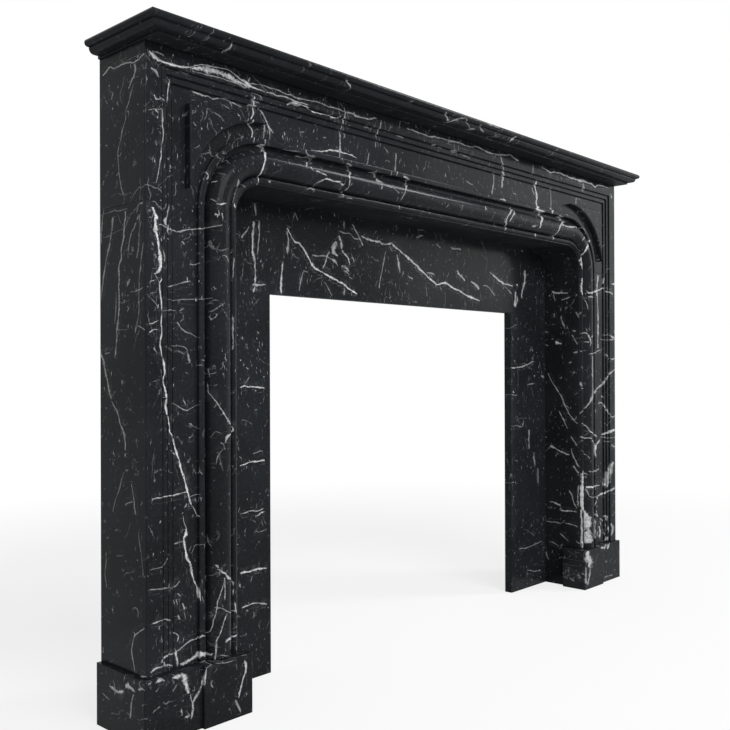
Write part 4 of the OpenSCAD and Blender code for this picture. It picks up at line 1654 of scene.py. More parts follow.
LEFT_SIDE_VEINS = drawn(
    ((124, 1043, -25, 11, -9, -5, -43, 0, -14, -5, -23, 4, -8, 4), (1.7, 1.3, 1.1, 1.1, 1.1, 1.5, 1.5), 0.8),
    ((24, 1044, 6, -6, -6, -9, 6, -7, 8, -4, 3, -7, 6, -7), (1.8, 1.8, 1.6, 1.5, 1.7, 1.4, 1), 0.62),
    ((30, 1017, 3, -8, 5, -8, 3, -9, 12, -16, 0, -11, 11, -20, 3, -10, 6, -10, 3, -11, 0, -12, -5, -33, -6, -16,
      -6, -12), 1.2, 0.39),
    ((58, 1030, 3, -12, 6, -8, 3, -10, -6, -11), 1, 0.24),
    ((121, 1014, -15, -19), 0.8, 0.29),
    ((91, 1012, 3, -7, 3, -3), 2.5, 0.39),
    ((53, 976, -9, -7), 1, 0.39),
    ((119, 833, 9, -47, -3, -14), 1.8, 0.39),
    ((92, 814, 6, -31, 18, -47, 13, -52), (1.9, 1.9, 1.7, 1.1), 0.45),
    ((56, 820, 0, -12, 3, -14, 1, -12, 5, -15, 3, -13, 0, -11, 6, -10, 1, -68, 6, -31, 0, -13, 6, -31), (1.9,
      1.9, 1.7, 1.9, 2.1, 1.9, 1.9, 1.9, 2.1, 1.9, 1.7, 1.3), 0.56),
    ((83, 694, 0, -21, 3, -20, 1, -11), 1.3, 0.34),
    ((131, 820, -21, 2, -21, 1, -18, -2, -23, 1), 0.7, 0.29),
    ((125, 785, -15, -1, -33, 6, -18, 1), 0.6, 0.24),
    ((17, 826, 3, -7, 5, -7), 1, 0.29),
    ((17, 826, -11, -1), 1, 0.5),
    ((20, 808, 3, -9), 1.8, 0.45),
    ((14, 794, -5, 4), (1.3, 0.9), 0.39),
    ((25, 798, 6, -9, 9, -8, 8, -27), 1.2, 0.39),
    ((14, 794, 3, -12, 0, -13, 6, -27), 1.2, 0.34),
    ((6, 764, 11, -56, 1, -46, 3, -15, 5, -9), 1.2, 0.39),
    ((26, 638, 3, -11), 3.6, 0.45),
    ((43, 690, -36, 5), 1.1, 0.45),
    ((51, 701, -8, 11), 3.2, 0.5),
    ((72, 676, -18, 1, -11, 2), 0.6, 0.29),
    ((26, 638, -14, -2, -11, -6), 1, 0.56),
    ((78, 634, -18, -1, -11, 1), 0.6, 0.24),
    ((129, 606, 0, -11, -6, -8, -21, -55, -6, -9), (1.6, 2.1, 2.4, 2, 1.6), 0.5),
    ((120, 595, -9, 3, -9, 0), 1.1, 0.39),
    ((66, 556, 0, -9), 1.9, 0.29),
    ((99, 523, -21, -23, -5, -13, -9, -12, -6, -11, 0, -22), (0.9, 1.5, 1.2, 2.1, 2.1, 1.7), 0.5),
    ((58, 441, 0, -8), 2.9, 0.62),
    ((61, 414, 12, -26, 18, -32, 3, -11), 1.2, 0.39),
    ((58, 414, -11, 1), 0.9, 0.29),
    ((47, 513, -6, -6), 1.2, 0.34),
    ((10, 493, -5, -2), 1.1, 0.29),
    ((56, 358, -3, 5, -17, 4), (1.6, 1.1, 1), 0.39),
    ((44, 398, 0, -3), 2.2, 0.45),
    ((41, 395, -8, -25, 0, -12, -5, -11), (1, 1.2, 1.4, 1.9), 0.45),
    ((32, 105, 8, 26, 0, 12, -9, 19, -27, 16), 1.2, 0.56),
    ((18, 102, -17, 3), 1.1, 0.72),
    ((115, 280, 0, -19, 4, -15, -6, -26), 1.3, 0.29),
    ((22, 322, -11, -46, -2, -22), 1.1, 0.29),
    ((85, 276, -23, 4), 0.8, 0.29),
    ((65, 246, -11, 8, -17, 4), 0.7, 0.29),
    ((40, 199, -9, 6, -8, -4, 0, -9), (0.8, 0.7, 1.2, 1.2), 0.29),
)

LEFT_LEG_VEINS_AND_BEAD_HIGHLIGHT = drawn(
    ((-741, 821, 5, -2), 1.1, 0.5),
    ((-738, 803, 9, 1), 0.8, 0.39),
    ((-731, 767, 4, -7), 1.3, 0.45),
    ((-730, 821, 7, -17, -2, -8, 10, -64, -11, -15), (2.1, 3.4, 2.3, 2.2, 1.2), 0.93),
    ((-709, 756, 4, -10, -2, -8), 1.3, 0.34),
    ((-726, 717, 6, -7, 2, -7), 0.8, 0.39),
    ((-713, 711, -4, -7, -1, -6, 5, -29, 0, -14, -2, -15, 2, -11, -4, -19, 4, -18, 5, -9, 0, -10, 2, -9, -4, -8,
      4, -18, 3, -11), (1.3, 1.1, 1.3, 2.4, 1.4, 1.4, 1.6, 1.4, 1.7, 2, 2, 1.6, 1.6, 1.4, 1.8), 0.84),
    ((-696, 828, -4, -18, -5, -9, 2, -7), (1.1, 1.5, 2.3, 1.6), 0.5),
    ((-698, 796, 0, -12), 2, 0.68),
    ((-698, 776, 2, -3), 1.6, 0.5),
    ((-722, 793, 11, 2, 8, -3, 20, -3, 11, 1, 27, 7, 8, 0, 16, 5, 17, 4), 0.9, 0.5),
    ((-670, 775, 6, -4), 1.7, 0.5),
    ((-668, 777, 10, 4), 0.6, 0.29),
    ((-651, 793, 4, -5), 1.1, 0.34),
    ((-655, 740, 8, -1, 5, 3), 0.9, 0.5),
    ((-604, 755, 7, 1, 8, -9), (0.8, 1, 1.5), 0.29),
    # These two lines run down the bead where its highlight falls: partly vein, partly painted highlight.
    ((-572, 756, -2, -33), (1.1, 0.8), 0.5),
    ((-574, 661, 0, -58), 1, 0.39),
    ((-734, 706, 8, 2), 1.1, 0.5),
    ((-734, 688, 12, 2), 0.7, 0.39),
    ((-734, 682, 17, -18), 0.6, 0.34),
    ((-698, 700, 45, 13), 0.9, 0.39),
    ((-704, 681, 21, -1, 19, 3, 29, 1, 17, 3), 0.6, 0.34),
    ((-709, 662, 14, 2, 14, -1), 0.7, 0.34),
    ((-674, 664, 8, 5), 1.1, 0.39),
    ((-740, 640, 9, 1, 11, 6), 1.2, 0.45),
    ((-736, 628, 8, 4, 8, 0), (1.3, 1, 0.8), 0.56),
    ((-680, 648, 6, -10, 9, -6, 12, -4, 11, -6), (1.1, 1, 1, 1, 0.4), 0.39),
    ((-674, 648, 8, 3), 0.9, 0.29),
    ((-726, 606, -2, -5, 7, -5), 1.1, 0.39),
    ((-693, 609, 26, -2, 8, -5), 0.7, 0.34),
    ((-661, 599, 4, -10, 2, -9), (1.1, 2, 1.4), 0.39),
    ((-731, 552, 10, 3), 0.7, 0.34),
    ((-619, 664, 13, 12, 7, 3), 0.6, 0.29),
    ((-639, 588, 17, -8), (0.9, 0.4), 0.34),
    ((-644, 578, 7, 0), 0.9, 0.34),
    ((-633, 567, 13, -3, 6, 1), 0.7, 0.39),
    ((-622, 573, 2, -14), 0.4, 0.39),
    ((-728, 434, 3, -2), 1.2, 0.29),
    ((-703, 527, -3, -8, 2, -11, 5, -11, 4, -23, 7, -14, 26, -77, 2, -10, 8, -20), (1.8, 1.4, 1.3, 1.4, 1.2,
      1.4, 2, 1.8, 1.2), 0.89),
    ((-693, 445, 11, -9), 0.9, 0.5),
    ((-652, 353, 6, -9, 4, -10), (0.7, 0.9, 0.4), 0.45),
    ((-735, 372, 12, 2, 35, 0, 26, 2), (0.7, 0.9, 1, 0.9), 0.64),
    ((-656, 368, 14, 3), (1, 0.5), 0.39),
    ((-667, 351, 5, 8), 1.4, 0.39),
    ((-669, 339, 2, -11, 5, -12), 1, 0.5),
    ((-669, 524, 6, -9), 1.6, 0.45),
    ((-691, 520, 22, -12, 10, -1, 17, 7), (0.7, 0.9, 1, 0.4), 0.39),
    ((-659, 484, 7, 1), 1.1, 0.34),
    ((-648, 480, 6, -4), (0.8, 0.4), 0.34),
    ((-659, 462, 9, 3), (1.7, 1), 0.5),
    ((-622, 549, 1, -11, 3, -12, 25, -39, 17, -10, 0, -10, -20, -6, -2, -10), (0.4, 0.4, 0.6, 1.3, 0.4, 0.8,
      2.4, 1), 0.56),
    ((-620, 461, 3, 7, 4, 2, 6, -4), (0.4, 0.6, 0.9, 0.7), 0.29),
    ((-604, 442, -6, -8, -4, -16), (0.6, 0.6, 0.9), 0.34),
    ((-664, 319, 0, -11, -4, -4, 6, -33, 6, -10, 7, -29, 6, -12, 2, -22), (1.1, 2, 1.1, 1.9, 2.3, 1.4, 0.9,
      1.2), 0.87),
    ((-639, 208, 4, -11), 1, 0.45),
    ((-686, 297, 18, 2), 0.9, 0.39),
    ((-622, 299, 2, -16), 0.6, 0.45),
    ((-638, 310, 2, -6), 1.1, 0.39),
    ((-622, 289, -20, 1, -7, -5, -5, -9), (0.4, 0.6, 0.7, 0.7), 0.29),
    ((-615, 256, 3, -7), 1.3, 0.62),
    ((-612, 248, 6, -6, 7, -4, 7, -8, 16, -10, 2, -8), (1.1, 1.4, 1.8, 1.8, 0.8, 0.9), 0.62),
    ((-601, 233, 0, -37), (1.8, 1), 0.56),
    ((-601, 228, -10, -29, -11, -55, -17, 0, -6, -5, -12, -1, -30, -12, -15, 2, -11, -5, -4, -5), (1.1, 0.8,
      0.4, 1.3, 1.2, 1.1, 1.1, 1.1, 1.4, 1.1), 0.59),
    ((-615, 186, 7, -2, 9, -6, 10, -5, 17, -3), 0.9, 0.45),
    ((-574, 207, 0, -10), 1.4, 0.68),
    ((-572, 185, 2, -14, 6, -8), 1.8, 0.56),
    ((-597, 172, -4, -7, -10, -26, -3, -11, -2, -28), (1.3, 1.2, 1, 0.8, 1), 0.59),
    ((-599, 127, 7, 3, 18, -1, 10, 3), (2.3, 2, 1.5, 1.8), 0.74),
    ((-611, 108, 16, -5), 0.7, 0.34),
    ((-676, 106, 8, 0, 21, 4, 6, 5, 19, -6, 3, 1), (2.3, 3.2, 3.6, 3.3, 1.7, 2.1), 0.84),
    ((-659, 100, 14, 0, 10, 3, 17, -3), 1.2, 0.34),
    ((-685, 132, 4, -20, 3, -9), (1.5, 1.7, 2.2), 0.72),
    ((-689, 159, 8, -4, 2, -5, -2, -8), 1.2, 0.5),
    ((-734, 183, 14, 2, 14, -1, 10, -5), (1.2, 1, 1.1, 0.7), 0.56),
    ((-736, 109, 8, 4, 9, 1, 13, -1, 13, -5), 1.2, 0.72),
    ((-681, 221, 7, -10), 1.1, 0.62),
    ((-683, 209, 4, -9), 1.2, 0.5),
    ((-672, 203, 6, -14), 1.5, 0.56),
    ((-681, 186, 5, -10), 1.1, 0.45),
    ((-668, 187, 4, -12), 1.1, 0.45),
    ((-673, 238, -10, -7, -9, -3), 1.1, 0.39),
    ((-739, 236, 28, -3, 17, -3), (0.7, 1, 0.7), 0.34),
    ((-738, 266, 24, 1, 9, 7, 7, 10), (0.6, 0.8, 1.1, 0.8), 0.29),
    ((-598, 458, 8, 4, 14, 5, 1, 7, -20, 18), (1.8, 2.2, 0.6, 0.7, 1.2), 0.72),
    ((-575, 412, 0, -3), 0.9, 0.74),
    ((-593, 412, 2, -1), 0.9, 0.5),
)

RIGHT_LEG_VEINS_AND_ROLL_HIGHLIGHT = drawn(
    ((566, 620, 2, -5), (0.4, 1.8), 0.39),
    ((566, 662, 16, 3, 13, -24, -3, -10), (1.6, 1.7, 2.5, 1.5), 0.5),
    ((582, 678, 4, -11), (1.1, 1.5), 0.5),
    ((595, 654, 37, 12), (1.9, 0.9), 0.39),
    ((579, 641, 13, 0), 1.5, 0.39),
    ((589, 610, 43, 3, 59, 12), (1.7, 1.7, 0.4), 0.56),
    # A faint wide white line down the roll's crest, where its highlight falls: painted highlight.
    ((607, 607, -2, -102, -6, -16), (6.9, 4.7, 2.5), 0.39),
    ((691, 663, 11, 0, 10, 3), 0.4, 0.93),
    ((712, 663, 14, -5, 17, -2), (0.4, 1.9, 1.9), 0.68),
    ((737, 675, 12, -6), 2.6, 0.62),
    ((676, 651, 33, -2, 34, 4), 1.2, 0.39),
    ((697, 614, 11, -11), 2.5, 0.45),
    ((720, 595, 22, 6), 2.3, 0.5),
    ((565, 537, 3, -13), 2.1, 0.39),
    ((568, 521, 3, -3), 2.5, 0.56),
    ((567, 430, 15, -9, 6, -10, 16, -9, 53, -14), (1.1, 1.3, 1.7, 1.9, 2.2), 0.52),
    ((742, 570, -28, -13, -17, -19, -22, -14, -70, -25, -14, -15, -9, -13, -16, -13, -2, -5), (2.3, 2.6, 2.6,
      3.1, 3.5, 1.9, 1.3, 0.6, 2.1), 0.56),
    ((680, 497, 11, -3), 1.8, 0.5),
    ((663, 476, 22, 2, 33, -36, 23, -1), (2.2, 2.1, 1.9, 1.6), 0.5),
    ((679, 392, 22, 4, 17, 5, 23, 2), 2.9, 0.8),
    ((564, 393, 18, -3, 16, -1), 1.9, 0.5),
    ((598, 382, 35, -11), 2, 0.5),
    ((673, 379, -11, -8, -24, -8, -5, -13, 5, -14), (2.9, 4.5, 6.3, 4.1, 5.7), 0.74),
    ((691, 375, 21, -4), 1.6, 0.39),
    ((674, 387, 39, -5, 28, 1), 1.4, 0.34),
    ((718, 363, 22, -7), 2.5, 0.5),
    ((566, 359, 16, -13, 8, -11), (0.7, 1.1, 1.5), 0.39),
    ((569, 305, 11, -9, 5, -3), (2.1, 1.3, 1.8), 0.5),
    ((587, 304, 16, -4, 53, -1, 11, 5), 1.7, 0.5),
    ((569, 302, 0, -29, -2, -18, 2, -18, -2, -21, 12, -22, 4, -18, 6, -61), (3, 3.5, 4.7, 8, 4, 3.3, 7.5, 12),
      0.79),
    ((734, 315, -17, -15, -11, -18, -6, -19, 2, -16), (4.9, 8.4, 12, 12, 0.4), 0.59),
    ((581, 262, 91, -5), (2.3, 1.4), 0.87),
    ((580, 257, 5, -11, 8, -11, 39, -5, 29, -1), (0.9, 1.3, 1.5, 1.5, 1.6), 0.5),
    ((661, 229, 39, 7, 17, 4, 23, 3), 2.5, 0.76),
    ((661, 226, -24, -10, -5, -7), (3.4, 3.2, 0.4), 0.56),
    ((688, 172, 17, -4), 2.7, 0.56),
    ((728, 173, -1, -5), 4.5, 0.5),
    ((666, 148, 5, -20, -5, -13), 6.1, 0.68),
    ((693, 106, 12, 7), 4.8, 0.62),
    ((716, 150, 11, -20, -11, -15), 4.5, 0.5),
    ((636, 168, -4, -18), (4.8, 0.4), 0.45),
    ((694, 150, 8, -17), (3.3, 0.4), 0.39),
    ((602, 195, 53, -19), 1.9, 0.39),
    ((566, 208, 1, -104), (0.6, 2.4), 0.74),
    ((632, 174, 0, -53), (0.4, 2.9), 0.62),
    ((637, 192, 24, -17), 2.8, 0.56),
    ((672, 168, 16, -10), 2.1, 0.56),
    ((688, 139, 3, -19), (3, 0.4), 0.5),
    ((705, 143, 5, -19), 3, 0.56),
    ((699, 174, 0, -17), 4, 0.5),
    ((655, 136, 0, -16), 3.9, 0.56),
    ((672, 160, 5, -14), 2.9, 0.5),
    ((569, 808, -1, -37, 10, -12), (2.1, 2.3, 0.6), 0.68),
    ((585, 772, 11, -2, 59, 10, 38, 10), (1.7, 2.3, 2.4, 1.6), 0.8),
    ((693, 817, -2, -16), (3.6, 0.4), 0.56),
    ((721, 803, 23, 1), 2.6, 0.8),
    ((699, 782, 33, -6), 1.9, 0.62),
    ((587, 759, 45, 3), (1.9, 0.4), 0.62),
    ((666, 824, -6, -41, 5, -54, -1, -105), 2.5, 0.62),
    ((581, 751, 6, -24), (0.9, 1.3), 0.5),
)

RIGHT_INNER_VEINS = drawn(
    ((110, 670, -12, 0), 1.7, 0.39),
    ((92, 651, -9, 0), 1.7, 0.29),
    ((80, 643, -21, -6), 2.5, 0.87),
    ((82, 720, 1, -13), 2, 0.5),
    ((61, 711, -3, -13, -9, -22), 1.8, 0.39),
    ((49, 679, -12, -1), 0.9, 0.29),
    ((85, 773, -6, -21), 1.5, 0.39),
    ((88, 779, -9, -6, -39, -2), (1.6, 2.3, 1.9), 0.68),
    ((61, 753, -12, 2, -15, 5), 1.8, 0.45),
    ((19, 759, -6, 7), 2.1, 0.39),
    ((29, 670, -12, 0), 1.5, 0.39),
    ((29, 660, -18, -27), 1.8, 0.39),
    ((26, 612, -15, 3), 2.1, 0.62),
    ((38, 586, -9, 3), 2.3, 0.39),
    ((26, 557, -6, 8), 1.8, 0.39),
    ((20, 503, -8, 7), 1.2, 0.29),
    ((65, 544, -6, 8), 1.7, 0.39),
    ((102, 560, -10, -19, -30, -42, -12, -26, -18, -28, -20, -18), (1.1, 1.3, 1.7, 1.8, 1.7, 1.6), 0.5),
    ((68, 459, -26, -46), 1.7, 0.5),
    ((33, 395, -18, -26), 1.7, 0.45),
    ((24, 434, -9, 14), 1.4, 0.34),
    ((96, 365, -15, -5, -9, -4, -24, -9, -12, -2), (2.6, 2.4, 2, 1.6, 1.2), 0.68),
    ((33, 361, -6, -16, -9, -18, -9, -12), 2.1, 0.62),
    ((27, 319, -9, -12, -8, -10), 1.7, 0.5),
    ((97, 215, -12, 1, -22, -8), 1.7, 0.57),
    ((66, 197, -18, -1, -17, 2, -15, -1), 1.7, 0.68),
    ((110, 163, -16, -1, -15, 2, -15, -4), 1.3, 0.39),
    ((52, 164, -27, -2, -12, -4), 1.6, 0.48),
    ((39, 252, -9, -15, -5, -17, -9, -15), 1.7, 0.45),
    ((67, 136, -12, -9, -15, -9), (1.9, 1.7, 1.3), 0.39),
    ((100, 110, -15, -3, -15, -6), 1.2, 0.39),
    ((110, 85, -3, -16, -6, -9), 1.4, 0.31),
    ((19, 121, -11, -6), 1.5, 0.39),
    ((10, 268, 3, -26, 0, -32), 2.3, 0.5),
    ((16, 720, -8, -17), 1.6, 0.39),
)

LEFT_PLINTH_VEINS = drawn(
    ((-632, 100, -11, -3), (0.4, 1.2), 0.59),
    ((-643, 96, -5, -29, -12, -15, -3, -8, -1, -10, -3, -13), (1.2, 1.9, 2.4, 2.2, 2.1, 2.2), 0.64),
    ((-572, 100, 11, -2), (0.4, 0.7), 0.34),
    ((-623, 100, 17, -4, 20, 0), (0.4, 0.7, 0.7), 0.39),
    ((-702, 95, 9, -1, 7, 1), 3.1, 0.74),
    ((-731, 96, 7, 1, 9, -3), (1.8, 2.2, 1.6), 0.68),
    ((-745, 97, 5, 0), (2.1, 1.5), 0.68),
    ((-686, 98, 6, -7, 5, -20, 4, -8), (2.9, 3.5, 3.1, 2.3), 0.76),
    ((-669, 61, 2, -8, 4, -9), 1, 0.5),
    ((-693, 83, -8, -9), 1.1, 0.29),
    ((-680, 56, -2, -4), 1.9, 0.34),
    ((-686, 44, 2, -13), 1.9, 0.5),
    ((-679, 28, 8, -2), 2.7, 0.56),
    ((-630, 75, -4, -6, 4, -7), 1.5, 0.39),
    ((-630, 43, 2, -2), 1.4, 0.39),
    ((-567, 90, 4, -8, 0, -12, -6, -9, -9, -29), (1.2, 1.7, 2.1, 2.2, 1.4), 0.68),
    ((-584, 30, 2, -7, 6, -10, 3, -7), (2.7, 1.9, 1.5, 1.4), 0.39),
    ((-563, 37, 2, -7), 1.4, 0.29),
)

LEFT_PLINTH_SIDE_VEINS = drawn(
    ((11, 85, -11, 4, -8, -2), (1.5, 1.8, 0.9), 0.62),
    ((47, 80, -8, 4, -20, -4), (2.2, 4, 2.2), 0.74),
    ((94, 72, -9, -2, -18, -2, -17, 4), (1.2, 2.6, 3, 1.7), 0.8),
    ((22, 76, 5, -9, 6, -32), 1.7, 0.5),
    ((115, 56, -24, -8), 1.1, 0.39),
)

RIGHT_PLINTH_VEINS = drawn(
    ((564, 99, 0, -15, 10, -18, -10, -8), (11.9, 12, 11.2, 4.8), 0.74),
    ((553, 60, 0, -34, 10, -15), 3.4, 0.52),
    ((574, 59, 0, -16, -11, -32), 3.3, 0.5),
    ((693, 100, -15, -14), (0.4, 7.4), 0.62),
    ((632, 97, 30, -3), 2.8, 0.62),
    ((661, 11, 22, 2, 28, -2), 1.4, 0.5),
    ((672, 58, 0, -8), 4, 0.24),
    ((673, 98, -11, -9), 4.6, 0.68),
)

HEADER_VEINS = drawn(
    ((-437, 880, 0, -13), 1.9, 0.5),
    ((-437, 878, 3, -22), (1.9, 1.4), 0.56),
    ((-439, 847, -2, -17, -1, -38, 5, -27, 0, -32), (1.7, 1.7, 2.2, 1.6, 1.4), 0.62),
    ((-427, 850, 0, -32, -5, -34), (1.7, 1.4, 1.2), 0.5),
    ((-444, 727, 14, 1, 15, 3, 4, -1), (1.9, 1.6, 1.3, 1.2), 0.62),
    ((-437, 726, -5, -11), 1.9, 0.56),
    ((-470, 810, 21, 26), (1.4, 1), 0.45),
    ((-368, 777, -5, -35, 0, -27), (1.4, 2.3, 2.5), 0.68),
    ((-358, 839, 3, -13, 0, -15, -3, -20), (3, 2.6, 2.2, 1.8), 0.5),
    ((-358, 843, 21, -25, 13, -2, 26, -29, 6, -10, 22, -10, 65, -21, 17, -9, 24, -9), (1.6, 1.7, 1.8, 2.2, 2.5,
      1.6, 1.8, 1.5, 2.2), 0.84),
    ((-217, 853, 15, -2, 18, 0, 11, -7, 18, -1), 1.2, 0.52),
    ((-152, 850, 19, -4, 18, -2, 22, 0, 7, -4, 19, 2, 10, 3, 10, -5, 36, -17, 14, -7, 13, -6, 64, -35, 18, -8,
      15, 1, 18, 4, 38, -12, 20, -3, 15, -7, 24, -5, 24, -4, 17, -4), (1.3, 1.6, 1.9, 1.8, 2.2, 2.3, 2.1, 2.1,
      1.9, 2.3, 2.5, 2.6, 2.3, 1.8, 1.9, 1.9, 1.9, 2.1, 1.8, 1.7, 1.5), 0.84),
    ((-178, 872, 8, -9, 18, -23, 6, -10), (1.4, 2.3, 1.9, 2.4), 0.62),
    ((-202, 875, 0, -16), 2.5, 0.29),
    ((-217, 845, 6, -14, 3, -14), 2.7, 0.68),
    ((-222, 832, -9, -13, -3, -10, 14, -7), (2.7, 3.7, 4, 3.1), 0.56),
    ((-208, 815, 20, -18, 3, -10), (2.4, 2.2, 1.7), 0.68),
    ((-179, 804, 9, -10), 2.6, 0.5),
    ((-211, 782, 12, -1, 11, -7), (2.4, 3.3, 2.7), 0.56),
    ((-202, 773, 14, -5), 1.6, 0.5),
    ((-188, 762, 12, -4), 1.3, 0.45),
    ((-242, 810, -9, -11, -3, -10, -8, -17), 1.6, 0.5),
    ((-240, 794, 12, -3, 8, -9), (1.3, 1.8, 1.9), 0.5),
    ((-292, 797, 19, 0, 19, 2, 14, -5), 1.3, 0.39),
    ((-74, 826, -19, -66, -3, -17), (1.3, 1.8, 1.3), 0.39),
    ((-314, 764, -5, -10, -5, -16, -3, -16), (1.2, 1.4, 1.5, 1.1), 0.39),
    ((-314, 764, 11, -1), 1.3, 0.39),
    ((-259, 748, 22, -27), 1.1, 0.34),
    ((-200, 736, -3, -13), 1.8, 0.34),
    ((-337, 876, -5, -14), 1, 0.29),
    ((-337, 876, 8, -16), 1.1, 0.29),
    ((-38, 823, 10, -41), 2, 0.56),
    ((-61, 838, 7, -10), 1.8, 0.39),
    ((-1, 778, 17, -6), 1.6, 0.39),
    ((62, 789, 18, 2, 14, -4), 1.7, 0.5),
    ((98, 859, 19, -7), 2, 0.39),
    ((151, 857, 19, -2, 23, 2), 1.9, 0.45),
    ((177, 806, 8, -9, 23, -15), 2.8, 0.68),
    ((232, 783, 21, -8, 12, -9), 2.5, 0.56),
    ((281, 775, 17, 1, 17, -9, 17, -14), (1.2, 1.6, 1.9, 1.5), 0.39),
    ((311, 811, 21, -10, 35, -13, 45, -4), (1.6, 2.2, 2, 2.3), 0.74),
    ((367, 786, 18, -12, 22, -11), 1.2, 0.39),
    ((426, 787, 9, 1), 2.6, 0.56),
    ((468, 829, -1, -16, -4, -23, -10, -19, 0, -18), (4.1, 4, 2.9, 2.9, 2.3), 0.56),
    ((425, 772, -4, -24, 0, -18), (3.2, 2.6, 3.6), 0.62),
    ((430, 759, 0, -15, -9, -14), 2.8, 0.5),
    ((27, 865, 25, 10), (1.7, 1), 0.34),
    ((62, 760, 3, -25), 1.5, 0.24),
)

LEFT_SLIP_VEINS = drawn(
    ((-474, 180, 0, -7), 2.2, 0.62),
    ((-473, 537, 9, 4, 12, -2, 26, -1, 12, -2), 1.3, 0.8),
    ((-474, 395, 24, 5, 36, 1), 1.3, 0.8),
    ((-443, 415, 12, 3, 12, 1), 1, 0.39),
    ((-459, 574, 7, -2), 1.4, 0.45),
    ((-468, 631, 2, -6), 1.6, 0.45),
    ((-461, 618, 7, -2), 1.1, 0.34),
    ((-433, 641, 5, -4), 1.4, 0.39),
    ((-419, 557, 5, 0), 1.4, 0.45),
    ((-440, 496, 7, 0), 1.1, 0.39),
    ((-450, 559, -14, -18), 0.8, 0.29),
    ((-473, 479, 18, -3), 0.7, 0.24),
    ((-450, 474, 5, -6), 1.1, 0.29),
    ((-476, 413, 7, -6), 0.8, 0.29),
    ((-474, 307, 26, 3, 12, -2, 12, 1, 7, 3), (1, 1.1, 1.2, 1.4, 1.4), 0.56),
    ((-439, 298, 24, 8), 1.4, 0.68),
    ((-439, 273, 7, -4, 12, 0, 8, 3), 0.8, 0.34),
    ((-474, 198, 11, 2, 14, -1, 15, 1, 12, 0, 12, -2), (1.7, 1.5, 1.6, 1.8, 1.5, 1.3), 0.87),
    ((-444, 191, -7, -12), (1.6, 1.1), 0.39),
    ((-472, 134, 11, 3, 22, 1, 28, -7), 1.2, 0.68),
    ((-461, 130, 7, -5), 1.3, 0.39),
    ((-442, 124, 0, -13), 1.4, 0.34),
    ((-468, 173, 3, -2), 1.1, 0.29),
    ((-474, 265, 0, -3), 1.5, 0.29),
)

RIGHT_SLIP_VEINS = drawn(
    ((401, 574, 14, 0, 28, 2, 28, 5, 38, 11), (0.4, 1.8, 1.7, 1.6, 1.2), 0.57),
    ((499, 600, 5, -3), 2.1, 0.39),
    ((543, 552, 15, -3), 2.2, 0.39),
    ((475, 529, 38, 5), 1.4, 0.39),
    ((410, 515, 5, -5), 3, 0.5),
    ((401, 505, 27, -1), (0.4, 1.5), 0.39),
    ((405, 497, 5, 0), 1.7, 0.34),
    ((401, 425, 22, 0, 28, -4), (0.4, 0.9, 0.9), 0.29),
    ((451, 421, 9, 15), 3.1, 0.39),
    ((484, 414, -1, -53), 2.4, 0.45),
    ((507, 352, 0, -16, 5, -21), 2.7, 0.39),
    ((526, 308, 0, -42), 2.5, 0.39),
    ((427, 337, 0, -5), 3.3, 0.39),
    ((401, 280, 12, 2), (0.4, 1.7), 0.45),
    ((408, 246, 5, -5), 2.3, 0.29),
    ((430, 108, 33, -3, 28, 1, 54, 6), (0.9, 1.2, 1.4, 1), 0.39),
    ((492, 164, 4, -6), 2.4, 0.34),
    ((472, 47, 33, -9, 34, -3), 1.3, 0.39),
)

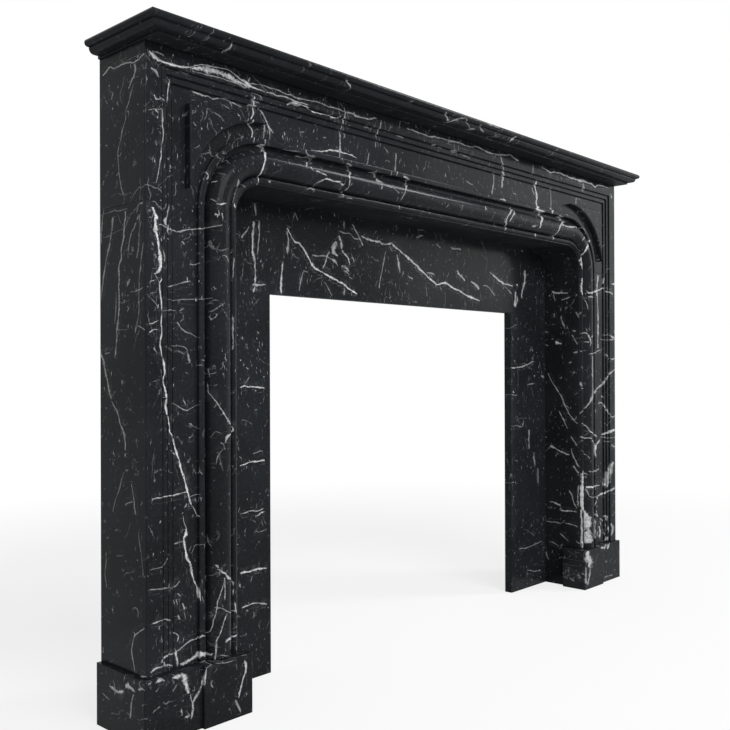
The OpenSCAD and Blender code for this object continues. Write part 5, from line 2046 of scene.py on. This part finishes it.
SHELF_VEINS = drawn(
    ((-627, 1073, 8, 7, 0, 8), (0.4, 2.1, 0.4), 0.39),
    ((-365, 1088, 12, -3, 9, -6), (0.4, 1.5, 0.6), 0.56),
    ((-278, 1104, -4, -10), 2, 0.5),
    ((-81, 1091, 14, -8, 11, -5), (1.4, 1.8, 0.4), 0.45),
    ((-56, 1078, 30, 12, 11, 2), 1.2, 0.39),
    ((-15, 1092, 31, -14), (1.6, 0.4), 0.45),
    ((16, 1078, 15, 2), (0.9, 1.5), 0.5),
    ((39, 1091, 10, -8, 14, -3), (1.7, 1.9, 1), 0.39),
    ((61, 1097, 21, -2, 26, 1), (2, 1.4, 1.5), 0.34),
    ((174, 1089, -10, -7, 3, -4), (2.1, 1.9, 0.4), 0.56),
    ((-188, 1088, 5, 2), (1.9, 1.3), 0.34),
)


def main() -> None:
    """Builds the surround stone by stone, then the studio, and reports each piece."""
    logging.basicConfig(level=logging.INFO, format="%(name)s: %(message)s")
    build, section = Build(), LegSection()
    front = Marble("marble front", (0.3, 0.0, 0.9), 0.1).build()
    left = Marble("marble left leg", (2.3, 5.0, 1.9), 0.0).build()
    right = Marble("marble right leg", (6.1, 1.2, 4.4), -0.9).build()
    inner = Marble("marble inner slabs", (1.1, 8.5, 3.3), 0.6).build()
    header = Marble("marble header", (9.4, 2.2, 0.5), 0.7).build()
    slips = Marble("marble slips", (4.4, 3.9, 7.7), 1.5, hairs=0.7).build()
    shelf = Marble("marble shelf", (7.2, 6.3, 5.0), 0.8, hairs=0.8, strokes=0.6, drift=0.8).build()
    under = Marble("marble soffit", (1.1, 8.5, 3.3), 0.0, hairs=0.6, strokes=0.35, drift=0.12).build()
    foot = Marble("marble plinths", (3.5, 9.1, 2.6), 0.5).build()
    Shelf(veins=SHELF_VEINS).make(shelf)
    Lintel(build, section, veins=LINTEL_VEINS_AND_ROLL_HIGHLIGHT, side_veins=LEFT_SIDE_VEINS).make(front)
    Leg(Side.LEFT, build, section, veins=LEFT_LEG_VEINS_AND_BEAD_HIGHLIGHT, side_veins=LEFT_SIDE_VEINS).make(left, inner)
    Leg(Side.RIGHT, build, section, veins=RIGHT_LEG_VEINS_AND_ROLL_HIGHLIGHT, inner_veins=RIGHT_INNER_VEINS).make(right, inner)
    Plinth(Side.LEFT, build, veins=LEFT_PLINTH_VEINS, side_veins=LEFT_PLINTH_SIDE_VEINS).make(foot)
    Plinth(Side.RIGHT, build, veins=RIGHT_PLINTH_VEINS).make(foot)
    Slips(build, header_veins=HEADER_VEINS, left_veins=LEFT_SLIP_VEINS, right_veins=RIGHT_SLIP_VEINS).make(
        header, slips, under)
    HiddenParts().make()
    Studio().make()


if __name__ == "__main__":
    main()
